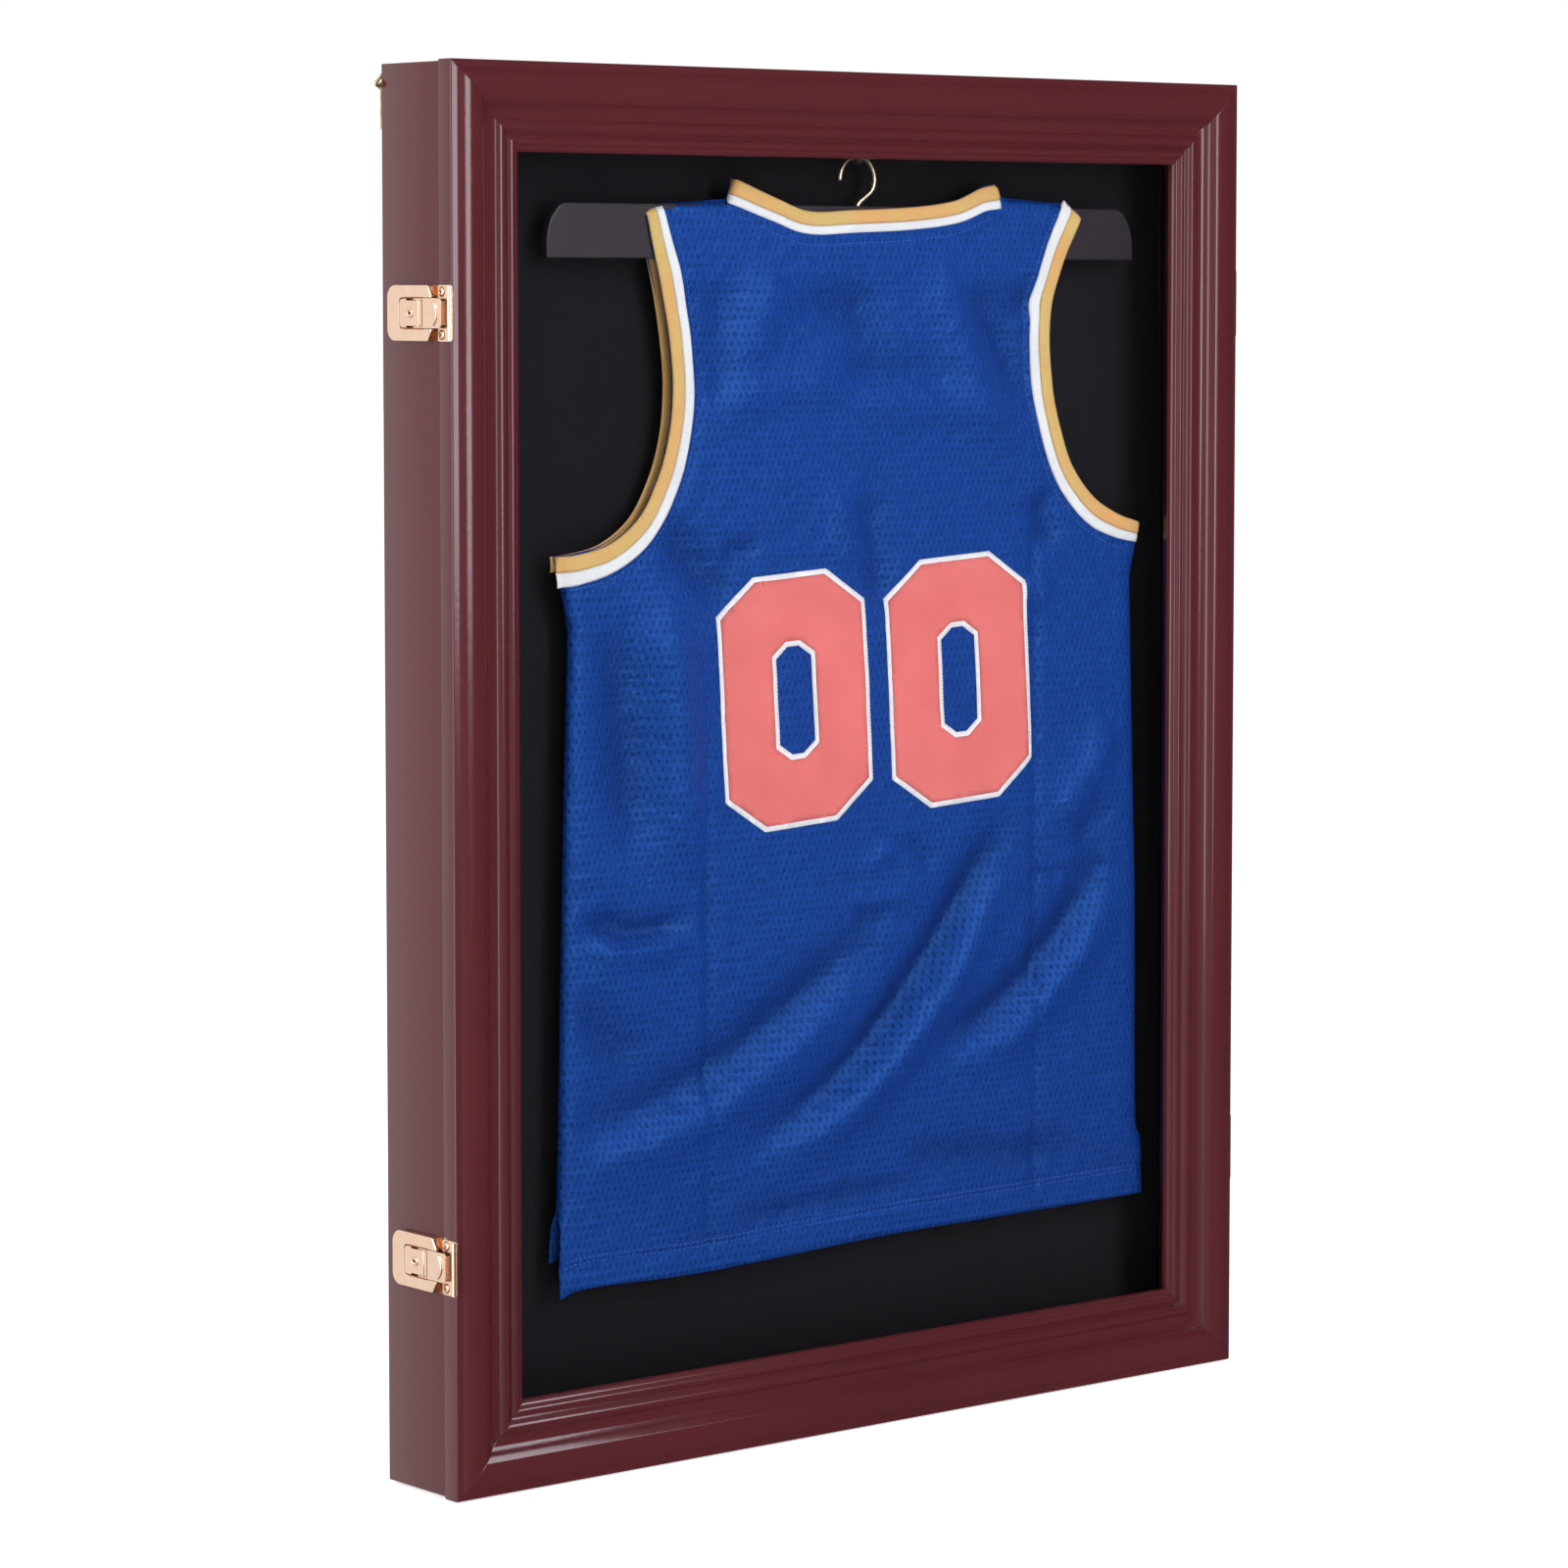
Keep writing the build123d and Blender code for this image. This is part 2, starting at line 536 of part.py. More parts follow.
plate_under = latch_rise - latch_plate
pivot_rise = plate_under - pivot_drop
lever_neck = lever_half_width - lever_neck_step
hook_half_width = lever_half_width + hook_overlap
hook_arm_inner = lever_neck + ear_clearance
hook_back = lever_fold - lever_clearance
slot_back = lever_tail + lever_clearance
cover_tongue = slot_half_width + lever_cheek
keeper_back = -door_back + keeper_margin
keeper_front = -door_front - keeper_margin
keeper_roll = keeper_front - case_depth - keeper_roll_radius - 0.1
keeper_lip = hook_end + 2.6
for level, height in latch_heights.items():
    latch_face = Plane(origin=(-case_half_width, 0, height), x_dir=(0, -1, 0), z_dir=(-1, 0, 0))

    with BuildPart() as latch_base:
        with BuildSketch(latch_face):
            with BuildLine():
                Polyline(on_face(base_back, -latch_half), on_face(base_front, -latch_half),
                         on_face(base_front, latch_half), on_face(base_back, latch_half), close=True)
            make_face()
        extrude(amount=latch_base_plate)
        for end in (-1, 1):
            with BuildSketch(Plane.XY.offset(height + end * (ear_inner + ear_outer) / 2)):
                with BuildLine():
                    Polyline(outward(pivot_line + ear_half_width, latch_base_plate),
                             outward(pivot_line + ear_half_width, plate_under),
                             outward(pivot_line - ear_half_width, plate_under),
                             outward(pivot_line - ear_half_width, latch_base_plate), close=True)
                make_face()
                with Locations(outward(pivot_line, pivot_rise)):
                    Circle(pivot_radius, mode=Mode.SUBTRACT)
            extrude(amount=ear_thickness / 2, both=True)
        add(latch_base_screws.part, mode=Mode.SUBTRACT)
    save(latch_base, f"{level}_latch_base")

    with BuildSketch() as cover_outline:
        with BuildLine():
            FilletPolyline(on_face(cover_back, -latch_half), on_face(cover_front, -latch_half),
                           on_face(cover_nose, -cover_tongue), on_face(cover_nose, cover_tongue),
                           on_face(cover_front, latch_half), on_face(cover_back, latch_half),
                           radius=(cover_corner, 1.5, 0.8, 0.8, 1.5, cover_corner), close=True)
        make_face()
    with BuildPart() as latch_cover:
        with BuildSketch(latch_face.offset(latch_base_plate)):
            add(cover_outline.sketch)
        extrude(amount=latch_rise - latch_base_plate)
        chamfer(latch_cover.faces().sort_by(Axis.X)[0].edges(), length=cover_chamfer)
        with BuildSketch(latch_face.offset(latch_base_plate)):
            offset(cover_outline.sketch, amount=-latch_plate)
        extrude(amount=plate_under - latch_base_plate, mode=Mode.SUBTRACT)
        with BuildSketch(latch_face):
            with BuildLine():
                FilletPolyline(on_face(slot_back, -slot_half_width), on_face(cover_nose - 2, -slot_half_width),
                               on_face(cover_nose - 2, slot_half_width), on_face(slot_back, slot_half_width),
                               radius=(lever_corner, 0.1, 0.1, lever_corner), close=True)
            make_face()
        extrude(amount=latch_rise + 1, mode=Mode.SUBTRACT)
    save(latch_cover, f"{level}_latch_cover")

    with BuildPart() as latch_pivots:
        for end in (-1, 1):
            with BuildSketch(Plane.XY.offset(height + end * (lever_neck - lever_cheek))):
                with Locations(outward(pivot_line, pivot_rise)):
                    Circle(pivot_radius)
            extrude(amount=end * (ear_outer - lever_neck + lever_cheek))
    save(latch_pivots, f"{level}_latch_pivots")

    with BuildPart() as latch_lever:
        with BuildSketch(latch_face.offset(plate_under)):
            with BuildLine():
                FilletPolyline(on_face(lever_tail, -lever_half_width),
                               on_face(lever_shoulder, -lever_half_width),
                               on_face(lever_shoulder, -lever_neck), on_face(lever_fold, -lever_neck),
                               on_face(lever_fold, lever_neck), on_face(lever_shoulder, lever_neck),
                               on_face(lever_shoulder, lever_half_width),
                               on_face(lever_tail, lever_half_width),
                               radius=(lever_corner, 0.3, 0.3, 0.3, 0.3, 0.3, 0.3, lever_corner), close=True)
            make_face()
            with Locations(on_face(lock_middle, 0)):
                Circle(lock_radius + pin_running_clearance, mode=Mode.SUBTRACT)
        extrude(amount=latch_plate)
        cheek_under = pivot_rise - 1.0
        for end in (-1, 1):
            with BuildSketch(Plane.XY.offset(height + end * (lever_neck - lever_cheek / 2))):
                with BuildLine():
                    Polyline(outward(link_pin_line + 1.4, plate_under),
                             outward(link_pin_line + 1.4, cheek_under),
                             outward(pivot_line - pivot_wall, cheek_under),
                             outward(pivot_line - pivot_wall, plate_under), close=True)
                make_face()
                with Locations(outward(link_pin_line, pivot_rise)):
                    Circle(link_pin_radius, mode=Mode.SUBTRACT)
            extrude(amount=lever_cheek / 2, both=True)
        with BuildSketch(Plane.XY.offset(height)):
            with Locations(outward(pivot_line, pivot_rise)):
                Circle(pivot_radius + pin_running_clearance)
        extrude(amount=lever_half_width, both=True, mode=Mode.SUBTRACT)
    save(latch_lever, f"{level}_latch_lever")

    with BuildPart() as link_pin:
        with BuildSketch(Plane.XY.offset(height)):
            with Locations(outward(link_pin_line, pivot_rise)):
                Circle(link_pin_radius)
        extrude(amount=hook_half_width, both=True)
    save(link_pin, f"{level}_link_pin")

    with BuildPart() as latch_hook:
        with BuildSketch(latch_face.offset(plate_under)):
            with BuildLine():
                FilletPolyline(on_face(hook_back, -hook_half_width), on_face(hook_end, -hook_half_width),
                               on_face(hook_end, hook_half_width), on_face(hook_back, hook_half_width),
                               radius=(0.2, hook_corner, hook_corner, 0.2), close=True)
            make_face()
        extrude(amount=latch_plate)
        with BuildSketch(Plane.XY.offset(height)):
            with BuildLine():
                Polyline(outward(hook_end + 1.2, plate_under), outward(hook_end + 0.2, plate_under),
                         outward(hook_end + 0.5, plate_under - catch_clearance),
                         outward(hook_end + 1.0, plate_under - catch_clearance), close=True)
            make_face()
        extrude(amount=hook_half_width - hook_corner - 0.2, both=True)
        for end in (-1, 1):
            with BuildSketch(Plane.XY.offset(height + end * hook_arm_inner)):
                with Locations(outward(link_pin_line, pivot_rise)):
                    Circle(pivot_wall)
                with BuildLine():
                    Polyline(outward(link_pin_line + pivot_wall, pivot_rise),
                             outward(link_pin_line + pivot_wall, latch_rise),
                             outward(hook_back - 1, latch_rise), outward(hook_back - 1, plate_under),
                             outward(link_pin_line - pivot_wall, plate_under),
                             outward(link_pin_line - pivot_wall, pivot_rise), close=True)
                make_face()
            extrude(amount=end * (hook_half_width - hook_arm_inner))
        with BuildSketch(Plane.XY.offset(height)):
            with Locations(outward(link_pin_line, pivot_rise)):
                Circle(link_pin_radius + pin_running_clearance)
        extrude(amount=hook_half_width + 1, both=True, mode=Mode.SUBTRACT)
    save(latch_hook, f"{level}_latch_hook")

    cam_under = plate_under - 0.5 - lock_cam_thickness
    with BuildPart() as lock_cylinder:
        with BuildSketch(latch_face.offset(plate_under - 0.5)):
            with Locations(on_face(lock_middle, 0)):
                Circle(lock_radius)
        extrude(amount=latch_plate + lock_proud + 0.5)
        with BuildSketch(latch_face.offset(cam_under)):
            with Locations(on_face(lock_middle, 0)):
                Circle(lock_radius - 0.4)
            with Locations(on_face(lock_middle + lock_cam_reach / 2, 0)):
                Rectangle(lock_cam_reach, lock_cam_width)
        extrude(amount=lock_cam_thickness)
        with BuildSketch(latch_face.offset(latch_rise + lock_proud)):
            with Locations(on_face(lock_middle, 0)):
                SlotOverall(key_slot_length, key_slot_width)
        extrude(amount=-1.0, mode=Mode.SUBTRACT)
    save(lock_cylinder, f"{level}_lock_cylinder")

    with BuildPart() as keeper:
        with BuildSketch(Plane(origin=(-door_width / 2, 0, height), x_dir=(0, -1, 0), z_dir=(-1, 0, 0))):
            with Locations(((keeper_back + keeper_front) / 2, 0)):
                RectangleRounded(keeper_front - keeper_back, 2 * latch_half, keeper_corner)
        extrude(amount=keeper_plate)
        lip_foot = door_overhang + keeper_plate / 2
        lip_top = plate_under - catch_clearance
        with BuildSketch(Plane.XY.offset(height)):
            with BuildLine():
                Polyline(outward(keeper_lip, lip_foot), outward(keeper_lip, lip_top),
                         outward(keeper_lip - 1, lip_top), outward(keeper_lip - 1, lip_foot), close=True)
            make_face()
        extrude(amount=keeper_lip_half_width, both=True)
        with BuildSketch(Plane.XY.offset(height)):
            with Locations(outward(-keeper_roll, door_overhang + keeper_plate + 0.7)):
                Circle(keeper_roll_radius)
        extrude(amount=latch_half - 0.6, both=True)
        add(keeper_screws.part, mode=Mode.SUBTRACT)
    save(keeper, f"{level}_latch_keeper")

# ==== wall hangers: a folded strap on each side board holding a three-sided wire ring ==========
for side, sx in (("left", -1), ("right", 1)):
    center = sx * strap_center
    with BuildPart() as strap:
        with BuildSketch(Plane.YZ.offset(center)):
            with Locations((ring_bar_back, ring_bar_height)):
                Circle(ring_bar_back)
            with Locations((strap_plate / 2, ring_bar_height - strap_length / 2)):
                Rectangle(strap_plate, strap_length)
            with Locations((ring_bar_back, ring_bar_height)):
                Circle(ring_wire_radius + ring_clearance, mode=Mode.SUBTRACT)
        extrude(amount=strap_width / 2, both=True)
        add(strap_screws.part, mode=Mode.SUBTRACT)
    save(strap, f"{side}_hanging_strap")

    with BuildPart() as ring:
        with BuildLine(Plane(origin=(center, ring_bar_back, ring_bar_height), x_dir=(1, 0, 0),
                             z_dir=(0, -1, 0))) as ring_path:
            FilletPolyline((0.2, 0), (ring_half_width, 0), (0, ring_rise), (-ring_half_width, 0), (-0.2, 0),
                           radius=ring_bend_radius)
        with BuildSketch(Plane(origin=(center + 0.2, ring_bar_back, ring_bar_height), z_dir=(1, 0, 0))):
            Circle(ring_wire_radius)
        sweep(path=ring_path.wires()[0])
    save(ring, f"{side}_hanging_ring")

# ==== hanger: hook, ferrule and bar ============================================================
elbow = radians(elbow_angle)
elbow_out = elbow_radius * (1 - cos(elbow))
heading = 90 - elbow_angle
blend = 90 - shoulder_end_angle
shoulder_out = shoulder_radius * (sin(radians(blend)) - sin(radians(heading)))
shoulder_up = shoulder_radius * (cos(radians(heading)) - cos(radians(blend)))
crown_out = crown_radius * cos(radians(shoulder_end_angle))
crown_up = crown_radius * sin(radians(shoulder_end_angle))
slant = (crown_out - elbow_out - shoulder_out) / sin(elbow)
stem_top = crown_height - crown_up - shoulder_up - slant * cos(elbow) - elbow_radius * sin(elbow)
stem_bottom = bar_middle_top - stem_socket_depth

with BuildPart() as hanger_hook:
    with BuildLine(Plane(origin=(hang_x, hang_y, 0), x_dir=(1, 0, 0), z_dir=(0, -1, 0))) as hook_path:
        stem = Line((0, stem_bottom), (0, stem_top))
        bent = JernArc(stem @ 1, (0, 1), elbow_radius, -elbow_angle)
        slope = Line(bent @ 1, bent @ 1 + (bent % 1) * slant)
        turn = JernArc(slope @ 1, slope % 1, shoulder_radius, blend - heading)
        JernArc(turn @ 1, turn % 1, crown_radius, 180 + shoulder_end_angle)
    with BuildSketch(Plane(origin=(hang_x, hang_y, stem_bottom), z_dir=(0, 0, 1))):
        Circle(hook_wire_radius)
    sweep(path=hook_path.wires()[0])
    tip = Plane(origin=(hang_x - crown_radius, hang_y, crown_height), z_dir=(0, 0, -1))
    with Locations(tip.location):
        Sphere(hook_wire_radius)
save(hanger_hook, "hanger_hook")

bar_x = hang_x + bar_offset
bar_half = liner_half_width - bar_side_room
bar_bottom = bar_middle_top - bar_height
bar_end_top = bar_middle_top + bar_end_rise


def bar_profile(grow=0.0):
    """Outline of the hanger bar: a raised hump under each shoulder and slanted ends."""
    with BuildSketch() as outline:
        with BuildLine():
            Line((-bar_half, bar_bottom), (bar_half, bar_bottom))
            Line((-bar_hump_foot, bar_middle_top), (bar_hump_foot, bar_middle_top))
            for s in (-1, 1):
                Polyline((s * bar_half, bar_bottom),
                         (s * (bar_half - bar_tip_slant), bar_bottom + bar_tip_height),
                         (s * (bar_half - bar_end_slant), bar_end_top), (s * bar_shoulder, bar_end_top))
                ThreePointArc((s * bar_shoulder, bar_end_top),
                              (s * bar_hump_place, bar_middle_top + bar_hump_rise),
                              (s * bar_hump_foot, bar_middle_top))
        make_face()
        if grow:
            offset(amount=grow)
    return outline.sketch


bar_plane = Plane(origin=(bar_x, hang_y, 0), x_dir=(1, 0, 0), z_dir=(0, -1, 0))
bar_sketch = bar_profile()
pocket_sketch = bar_profile(jersey_clearance)
with BuildPart() as hanger_bar:
    with BuildSketch(bar_plane):
        add(bar_sketch)
    extrude(amount=bar_thickness / 2, both=True)
    with BuildSketch(Plane.XY.offset(bar_middle_top)):
        with Locations((hang_x, hang_y)):
            Circle(hook_wire_radius + pin_running_clearance)
    extrude(amount=-stem_socket_depth - 1, mode=Mode.SUBTRACT)
save(hanger_bar, "hanger_bar")

with BuildPart() as hanger_ferrule:
    with BuildSketch(Plane.XY.offset(bar_middle_top)):
        with Locations((hang_x, hang_y)):
            Circle(ferrule_radius)
            Circle(hook_wire_radius + pin_running_clearance, mode=Mode.SUBTRACT)
    extrude(amount=ferrule_height)
save(hanger_ferrule, "hanger_ferrule")

# ==== jersey: one plain soft solid with a pocket for the bar ===================================
half_hem = liner_half_width - hem_side_room
hem = hem_floor_room - liner_half_height
shoulder_end = half_hem - shoulder_inset
half_neck = shoulder_end - shoulder_width
neck_tip = bar_middle_top + neck_tip_rise
shoulder_top = bar_middle_top + shoulder_rise
shoulder_low = shoulder_top - shoulder_corner_drop
with BuildPart() as jersey:
    with BuildSketch(Plane(origin=(jersey_x, hang_y, 0), x_dir=(1, 0, 0), z_dir=(0, -1, 0))):
        with BuildLine():
            for s in (-1, 1):
                armpit_point = (s * (half_hem - armpit_inset), shoulder_low - armpit)
                armhole_low = (s * (half_hem - armhole_foot_inset), shoulder_low - armhole_foot)
                hip_point = (s * (half_hem - hip_inset), shoulder_low - hip)
                Polyline((s * half_neck, neck_tip), (s * (half_neck + shoulder_slant), shoulder_top),
                         (s * (shoulder_end - shoulder_corner), shoulder_top), (s * shoulder_end, shoulder_low))
                ThreePointArc((s * shoulder_end, shoulder_low),
                              (s * (half_hem - armhole_inset), shoulder_low - armhole_middle), armhole_low)
                Line(armhole_low, armpit_point)
                ThreePointArc(armpit_point, (s * (half_hem - waist_inset), shoulder_low - waist),
                              hip_point)
                Line(hip_point, (s * half_hem, hem))
            Line((-half_hem, hem), (half_hem, hem))
            ThreePointArc((-half_neck, neck_tip), (0, bar_middle_top + neck_middle_rise),
                          (half_neck, neck_tip))
        make_face()
    extrude(amount=jersey_thickness / 2, both=True)
    with BuildSketch(bar_plane):
        add(pocket_sketch)
    extrude(amount=bar_thickness / 2 + jersey_clearance, both=True, mode=Mode.SUBTRACT)
    with BuildSketch(Plane.XY.offset(bar_middle_top - jersey_clearance)):
        with Locations((jersey_x, hang_y)):
            Rectangle(2 * bar_hump_foot, bar_thickness + 2 * jersey_clearance)
    extrude(amount=neck_tip_rise, mode=Mode.SUBTRACT)
save(jersey, "jersey")
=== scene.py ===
# %% [markdown]
# # A display case with a jersey
# The object is a shallow painted case with a glazed door, two draw latches on its left, hinges on its
# right, and a sleeveless sports jersey on a hanger inside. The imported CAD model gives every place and
# size. This lesson gives the model its finishes, and rebuilds the pieces that a solid modeller leaves
# plain: the mouldings, the bent and polished metal, and above all the cloth.

# %% Load the frame
import json
from math import atan2, ceil, cos, pi, radians, sin

import bmesh
import bpy
import numpy as np
from mathutils import Euler, Matrix, Vector
from mathutils.geometry import delaunay_2d_cdt

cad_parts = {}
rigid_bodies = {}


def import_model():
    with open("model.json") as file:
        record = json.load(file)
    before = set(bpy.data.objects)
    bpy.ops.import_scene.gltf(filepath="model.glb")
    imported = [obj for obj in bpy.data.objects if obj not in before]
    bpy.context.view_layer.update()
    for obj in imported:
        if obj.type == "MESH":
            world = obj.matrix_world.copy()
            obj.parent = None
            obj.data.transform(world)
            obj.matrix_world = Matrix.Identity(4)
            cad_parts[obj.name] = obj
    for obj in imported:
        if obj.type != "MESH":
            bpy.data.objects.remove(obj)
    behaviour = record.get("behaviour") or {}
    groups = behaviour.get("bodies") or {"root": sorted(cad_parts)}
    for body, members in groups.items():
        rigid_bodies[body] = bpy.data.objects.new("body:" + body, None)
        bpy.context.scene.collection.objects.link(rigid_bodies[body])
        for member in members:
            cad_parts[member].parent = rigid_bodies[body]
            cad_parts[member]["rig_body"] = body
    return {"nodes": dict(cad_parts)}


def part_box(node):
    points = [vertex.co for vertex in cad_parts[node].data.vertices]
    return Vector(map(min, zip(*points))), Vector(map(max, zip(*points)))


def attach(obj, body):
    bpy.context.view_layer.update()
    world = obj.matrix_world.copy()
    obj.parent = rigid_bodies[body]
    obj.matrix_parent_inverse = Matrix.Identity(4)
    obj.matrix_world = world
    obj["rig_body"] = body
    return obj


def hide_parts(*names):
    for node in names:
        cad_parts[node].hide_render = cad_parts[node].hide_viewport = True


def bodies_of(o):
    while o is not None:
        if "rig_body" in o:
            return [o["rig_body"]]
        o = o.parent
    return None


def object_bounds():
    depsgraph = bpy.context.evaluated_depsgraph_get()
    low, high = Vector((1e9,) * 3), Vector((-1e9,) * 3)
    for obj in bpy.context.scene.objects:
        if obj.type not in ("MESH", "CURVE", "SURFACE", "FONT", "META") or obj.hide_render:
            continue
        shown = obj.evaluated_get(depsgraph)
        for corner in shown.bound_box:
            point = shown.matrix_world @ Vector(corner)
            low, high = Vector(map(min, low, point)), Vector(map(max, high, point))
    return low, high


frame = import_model()
nodes = frame["nodes"]
cad_low, cad_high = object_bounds()
print("CAD box in mm:", [round(1000 * (b - a), 1) for a, b in zip(cad_low, cad_high)])

# %% [markdown]
# ## Camera
# The camera looks at the case from its left and from a little above the middle, through a long lens.
# A shifted lens keeps the uprights parallel where a tilted one lets them lean. A full shift would push
# the object out of every other view, so the camera mixes a small shift with a small tilt.

# %% Camera
camera_place = Vector((-1.9365, -2.3426, 0.2775))
camera_turn = radians(39.45)
camera_tilt = radians(4.212)
camera_data = bpy.data.cameras.new("camera")
camera_data.sensor_width = 36.0
camera_data.lens = 117.03
camera_data.shift_y = -0.08
camera_data.clip_start, camera_data.clip_end = 0.05, 60.0
camera = bpy.data.objects.new("camera", camera_data)
bpy.context.scene.collection.objects.link(camera)
camera.location = camera_place
camera.rotation_euler = Euler((pi / 2 - camera_tilt, 0, -camera_turn))
bpy.context.scene.camera = camera
print("camera is", round(camera_place.length, 2), "m from the middle of the case's back")

# %% [markdown]
# ## A small kit for node trees
# Materials and Geometry Nodes are both made of nodes joined by links. One helper adds a node, sets its
# plain values, and joins any input that is given another node's output.


# %% Node helper
def add_node(tree, kind, inputs=None, **settings):
    """Add a node. An input is given by name or number, as a plain value or as a socket to join."""
    node = tree.nodes.new(kind)
    for key, value in settings.items():
        setattr(node, key, value)
    for key, value in (inputs or {}).items():
        if isinstance(value, bpy.types.NodeSocket):
            tree.links.new(value, node.inputs[key])
        else:
            node.inputs[key].default_value = value
    return node


def start_material(name, **values):
    """A material with one Principled shader, whose uniform values are set on its own sockets."""
    material = bpy.data.materials.new(name)
    material.use_nodes = True
    shader = material.node_tree.nodes["Principled BSDF"]
    for key, value in values.items():
        shader.inputs[key.replace("_", " ")].default_value = value
    return material, material.node_tree, shader


def maths(tree, operation, first, second=0.0, third=0.0):
    return add_node(tree, "ShaderNodeMath", {0: first, 1: second, 2: third}, operation=operation).outputs[0]


def noise(tree, where, scale, detail=2.0, rough=0.5, stretch=(1, 1, 1)):
    """Noise at a scale in cells per metre, over Object coordinates or an attribute."""
    place = add_node(tree, "ShaderNodeMapping", {"Vector": where, "Scale": stretch})
    return add_node(tree, "ShaderNodeTexNoise", {"Vector": place.outputs[0], "Scale": scale,
                                                 "Detail": detail, "Roughness": rough}).outputs["Fac"]


def between(tree, factor, low, high):
    """A value that runs from low to high as the factor runs over the middle of its range."""
    return add_node(tree, "ShaderNodeMapRange", {"Value": factor, "From Min": 0.3, "From Max": 0.7,
                                                 "To Min": low, "To Max": high}).outputs[0]


def colours(tree, factor, first, second):
    mix = add_node(tree, "ShaderNodeMix", data_type="RGBA")
    tree.links.new(factor, mix.inputs["Factor"])
    mix.inputs["A"].default_value = (*first, 1)
    mix.inputs["B"].default_value = (*second, 1)
    return mix.outputs["Result"]


def raise_bump(tree, shader, height, depth, strength=1.0):
    """Join a height pattern to the shader. The depth is the pattern's real height in metres."""
    bump = add_node(tree, "ShaderNodeBump", {"Height": height, "Distance": depth, "Strength": strength})
    tree.links.new(bump.outputs[0], shader.inputs["Normal"])


def object_place(tree):
    return add_node(tree, "ShaderNodeTexCoord").outputs["Object"]


def multiplied(tree, first, second):
    """Two colours multiplied, as a dye is by a shadow."""
    mix = add_node(tree, "ShaderNodeMix", {"Factor": 1.0}, data_type="RGBA", blend_type="MULTIPLY")
    tree.links.new(first, mix.inputs["A"])
    tree.links.new(second, mix.inputs["B"])
    return mix.outputs["Result"]


def grained(name, scale, detail, strength, **values):
    """A plain finish with one fine grain raised on it."""
    material, tree, shader = start_material(name, **values)
    grain = noise(tree, object_place(tree), scale, detail)
    raise_bump(tree, shader, grain, 0.00005, strength)
    return material


print("node helpers are ready")

# %% [markdown]
# ## Light and room
# A tall softbox stands in front and a little to the right. Only surfaces that tilt to the left mirror it
# to the camera, so it draws the long highlights down the mouldings and leaves their flats dark. It hangs
# high, so the highlights fade towards the bottom. A wide one on the left rakes over the folds, and a
# small one high on the left lights what faces up. The room is brightest behind on the left, which is
# what the side of the case and the latches reflect.

# %% Floor
floor_size, floor_gap, floor_glow = 40.0, 0.001, 0.6


def mesh_of(name, shape):
    """The mesh of a finished bmesh shape."""
    mesh = bpy.data.meshes.new(name)
    shape.to_mesh(mesh)
    shape.free()
    return mesh


floor_shape = bmesh.new()
bmesh.ops.create_grid(floor_shape, x_segments=1, y_segments=1, size=floor_size / 2)
floor_mesh = mesh_of("floor", floor_shape)
floor_mesh.transform(Matrix.Translation((0, 0, cad_low.z - floor_gap)))
floor = bpy.data.objects.new("floor", floor_mesh)
bpy.context.scene.collection.objects.link(floor)
floor_material, _, _ = start_material("pale_floor", Base_Color=(0.9, 0.9, 0.9, 1), Roughness=0.9,
                                      Emission_Color=(1, 1, 1, 1), Emission_Strength=floor_glow)
floor_mesh.materials.append(floor_material)
floor.visible_glossy = False
print("the floor is", floor_size, "m wide")

# %% Room and lights
sky_dark, sky_bright = 0.035, 0.95
world = bpy.data.worlds.new("studio")
world.use_nodes = True
bpy.context.scene.world = world
sky = world.node_tree
direction = add_node(sky, "ShaderNodeTexCoord").outputs["Generated"]
bright_side = Vector((-0.86, 0.42, 0.3))
lean = add_node(sky, "ShaderNodeVectorMath", {0: direction, 1: bright_side}, operation="DOT_PRODUCT")
shade = add_node(sky, "ShaderNodeMapRange", {"Value": lean.outputs["Value"], "From Min": -0.5,
                                             "From Max": 0.8, "To Min": sky_dark,
                                             "To Max": sky_bright})
seen = add_node(sky, "ShaderNodeLightPath").outputs["Is Camera Ray"]
strength = add_node(sky, "ShaderNodeMix", {"Factor": seen, "A": shade.outputs[0], "B": 1.0})
background = sky.nodes["Background"]
background.inputs["Color"].default_value = (1, 1, 1, 1)
sky.links.new(strength.outputs[0], background.inputs["Strength"])


def softbox(name, azimuth, distance, height, size, power, colour=(1.0, 1.0, 1.0)):
    """A rectangular lamp facing the case. Azimuth is measured from the front, towards the right."""
    lamp = bpy.data.lights.new(name, "AREA")
    lamp.shape = "RECTANGLE"
    lamp.size, lamp.size_y = size
    lamp.energy = power
    lamp.color = colour
    box = bpy.data.objects.new(name, lamp)
    turn = radians(azimuth)
    box.location = (distance * sin(turn), -distance * cos(turn), height)
    box.rotation_euler = (-box.location).to_track_quat("-Z", "Y").to_euler()
    box.visible_camera = False
    bpy.context.scene.collection.objects.link(box)


softbox("front_softbox", 9, 2.4, 1.05, (1.0, 2.5), 54, (0.95, 0.93, 1.0))
softbox("side_softbox", -82, 3.2, 0.5, (2.4, 3.0), 74)
softbox("top_softbox", -32, 2.8, 3.2, (1.3, 0.9), 36)
bpy.context.scene.view_settings.view_transform = "Standard"

# %% [markdown]
# ## Hard finishes
# Each finish below has a material slot of the CAD model's by the same name. The paint is a dark cherry
# lacquer over smooth board: what makes it look real is the faint unevenness that a sprayed lacquer
# dries to, which breaks the edge of a highlight.

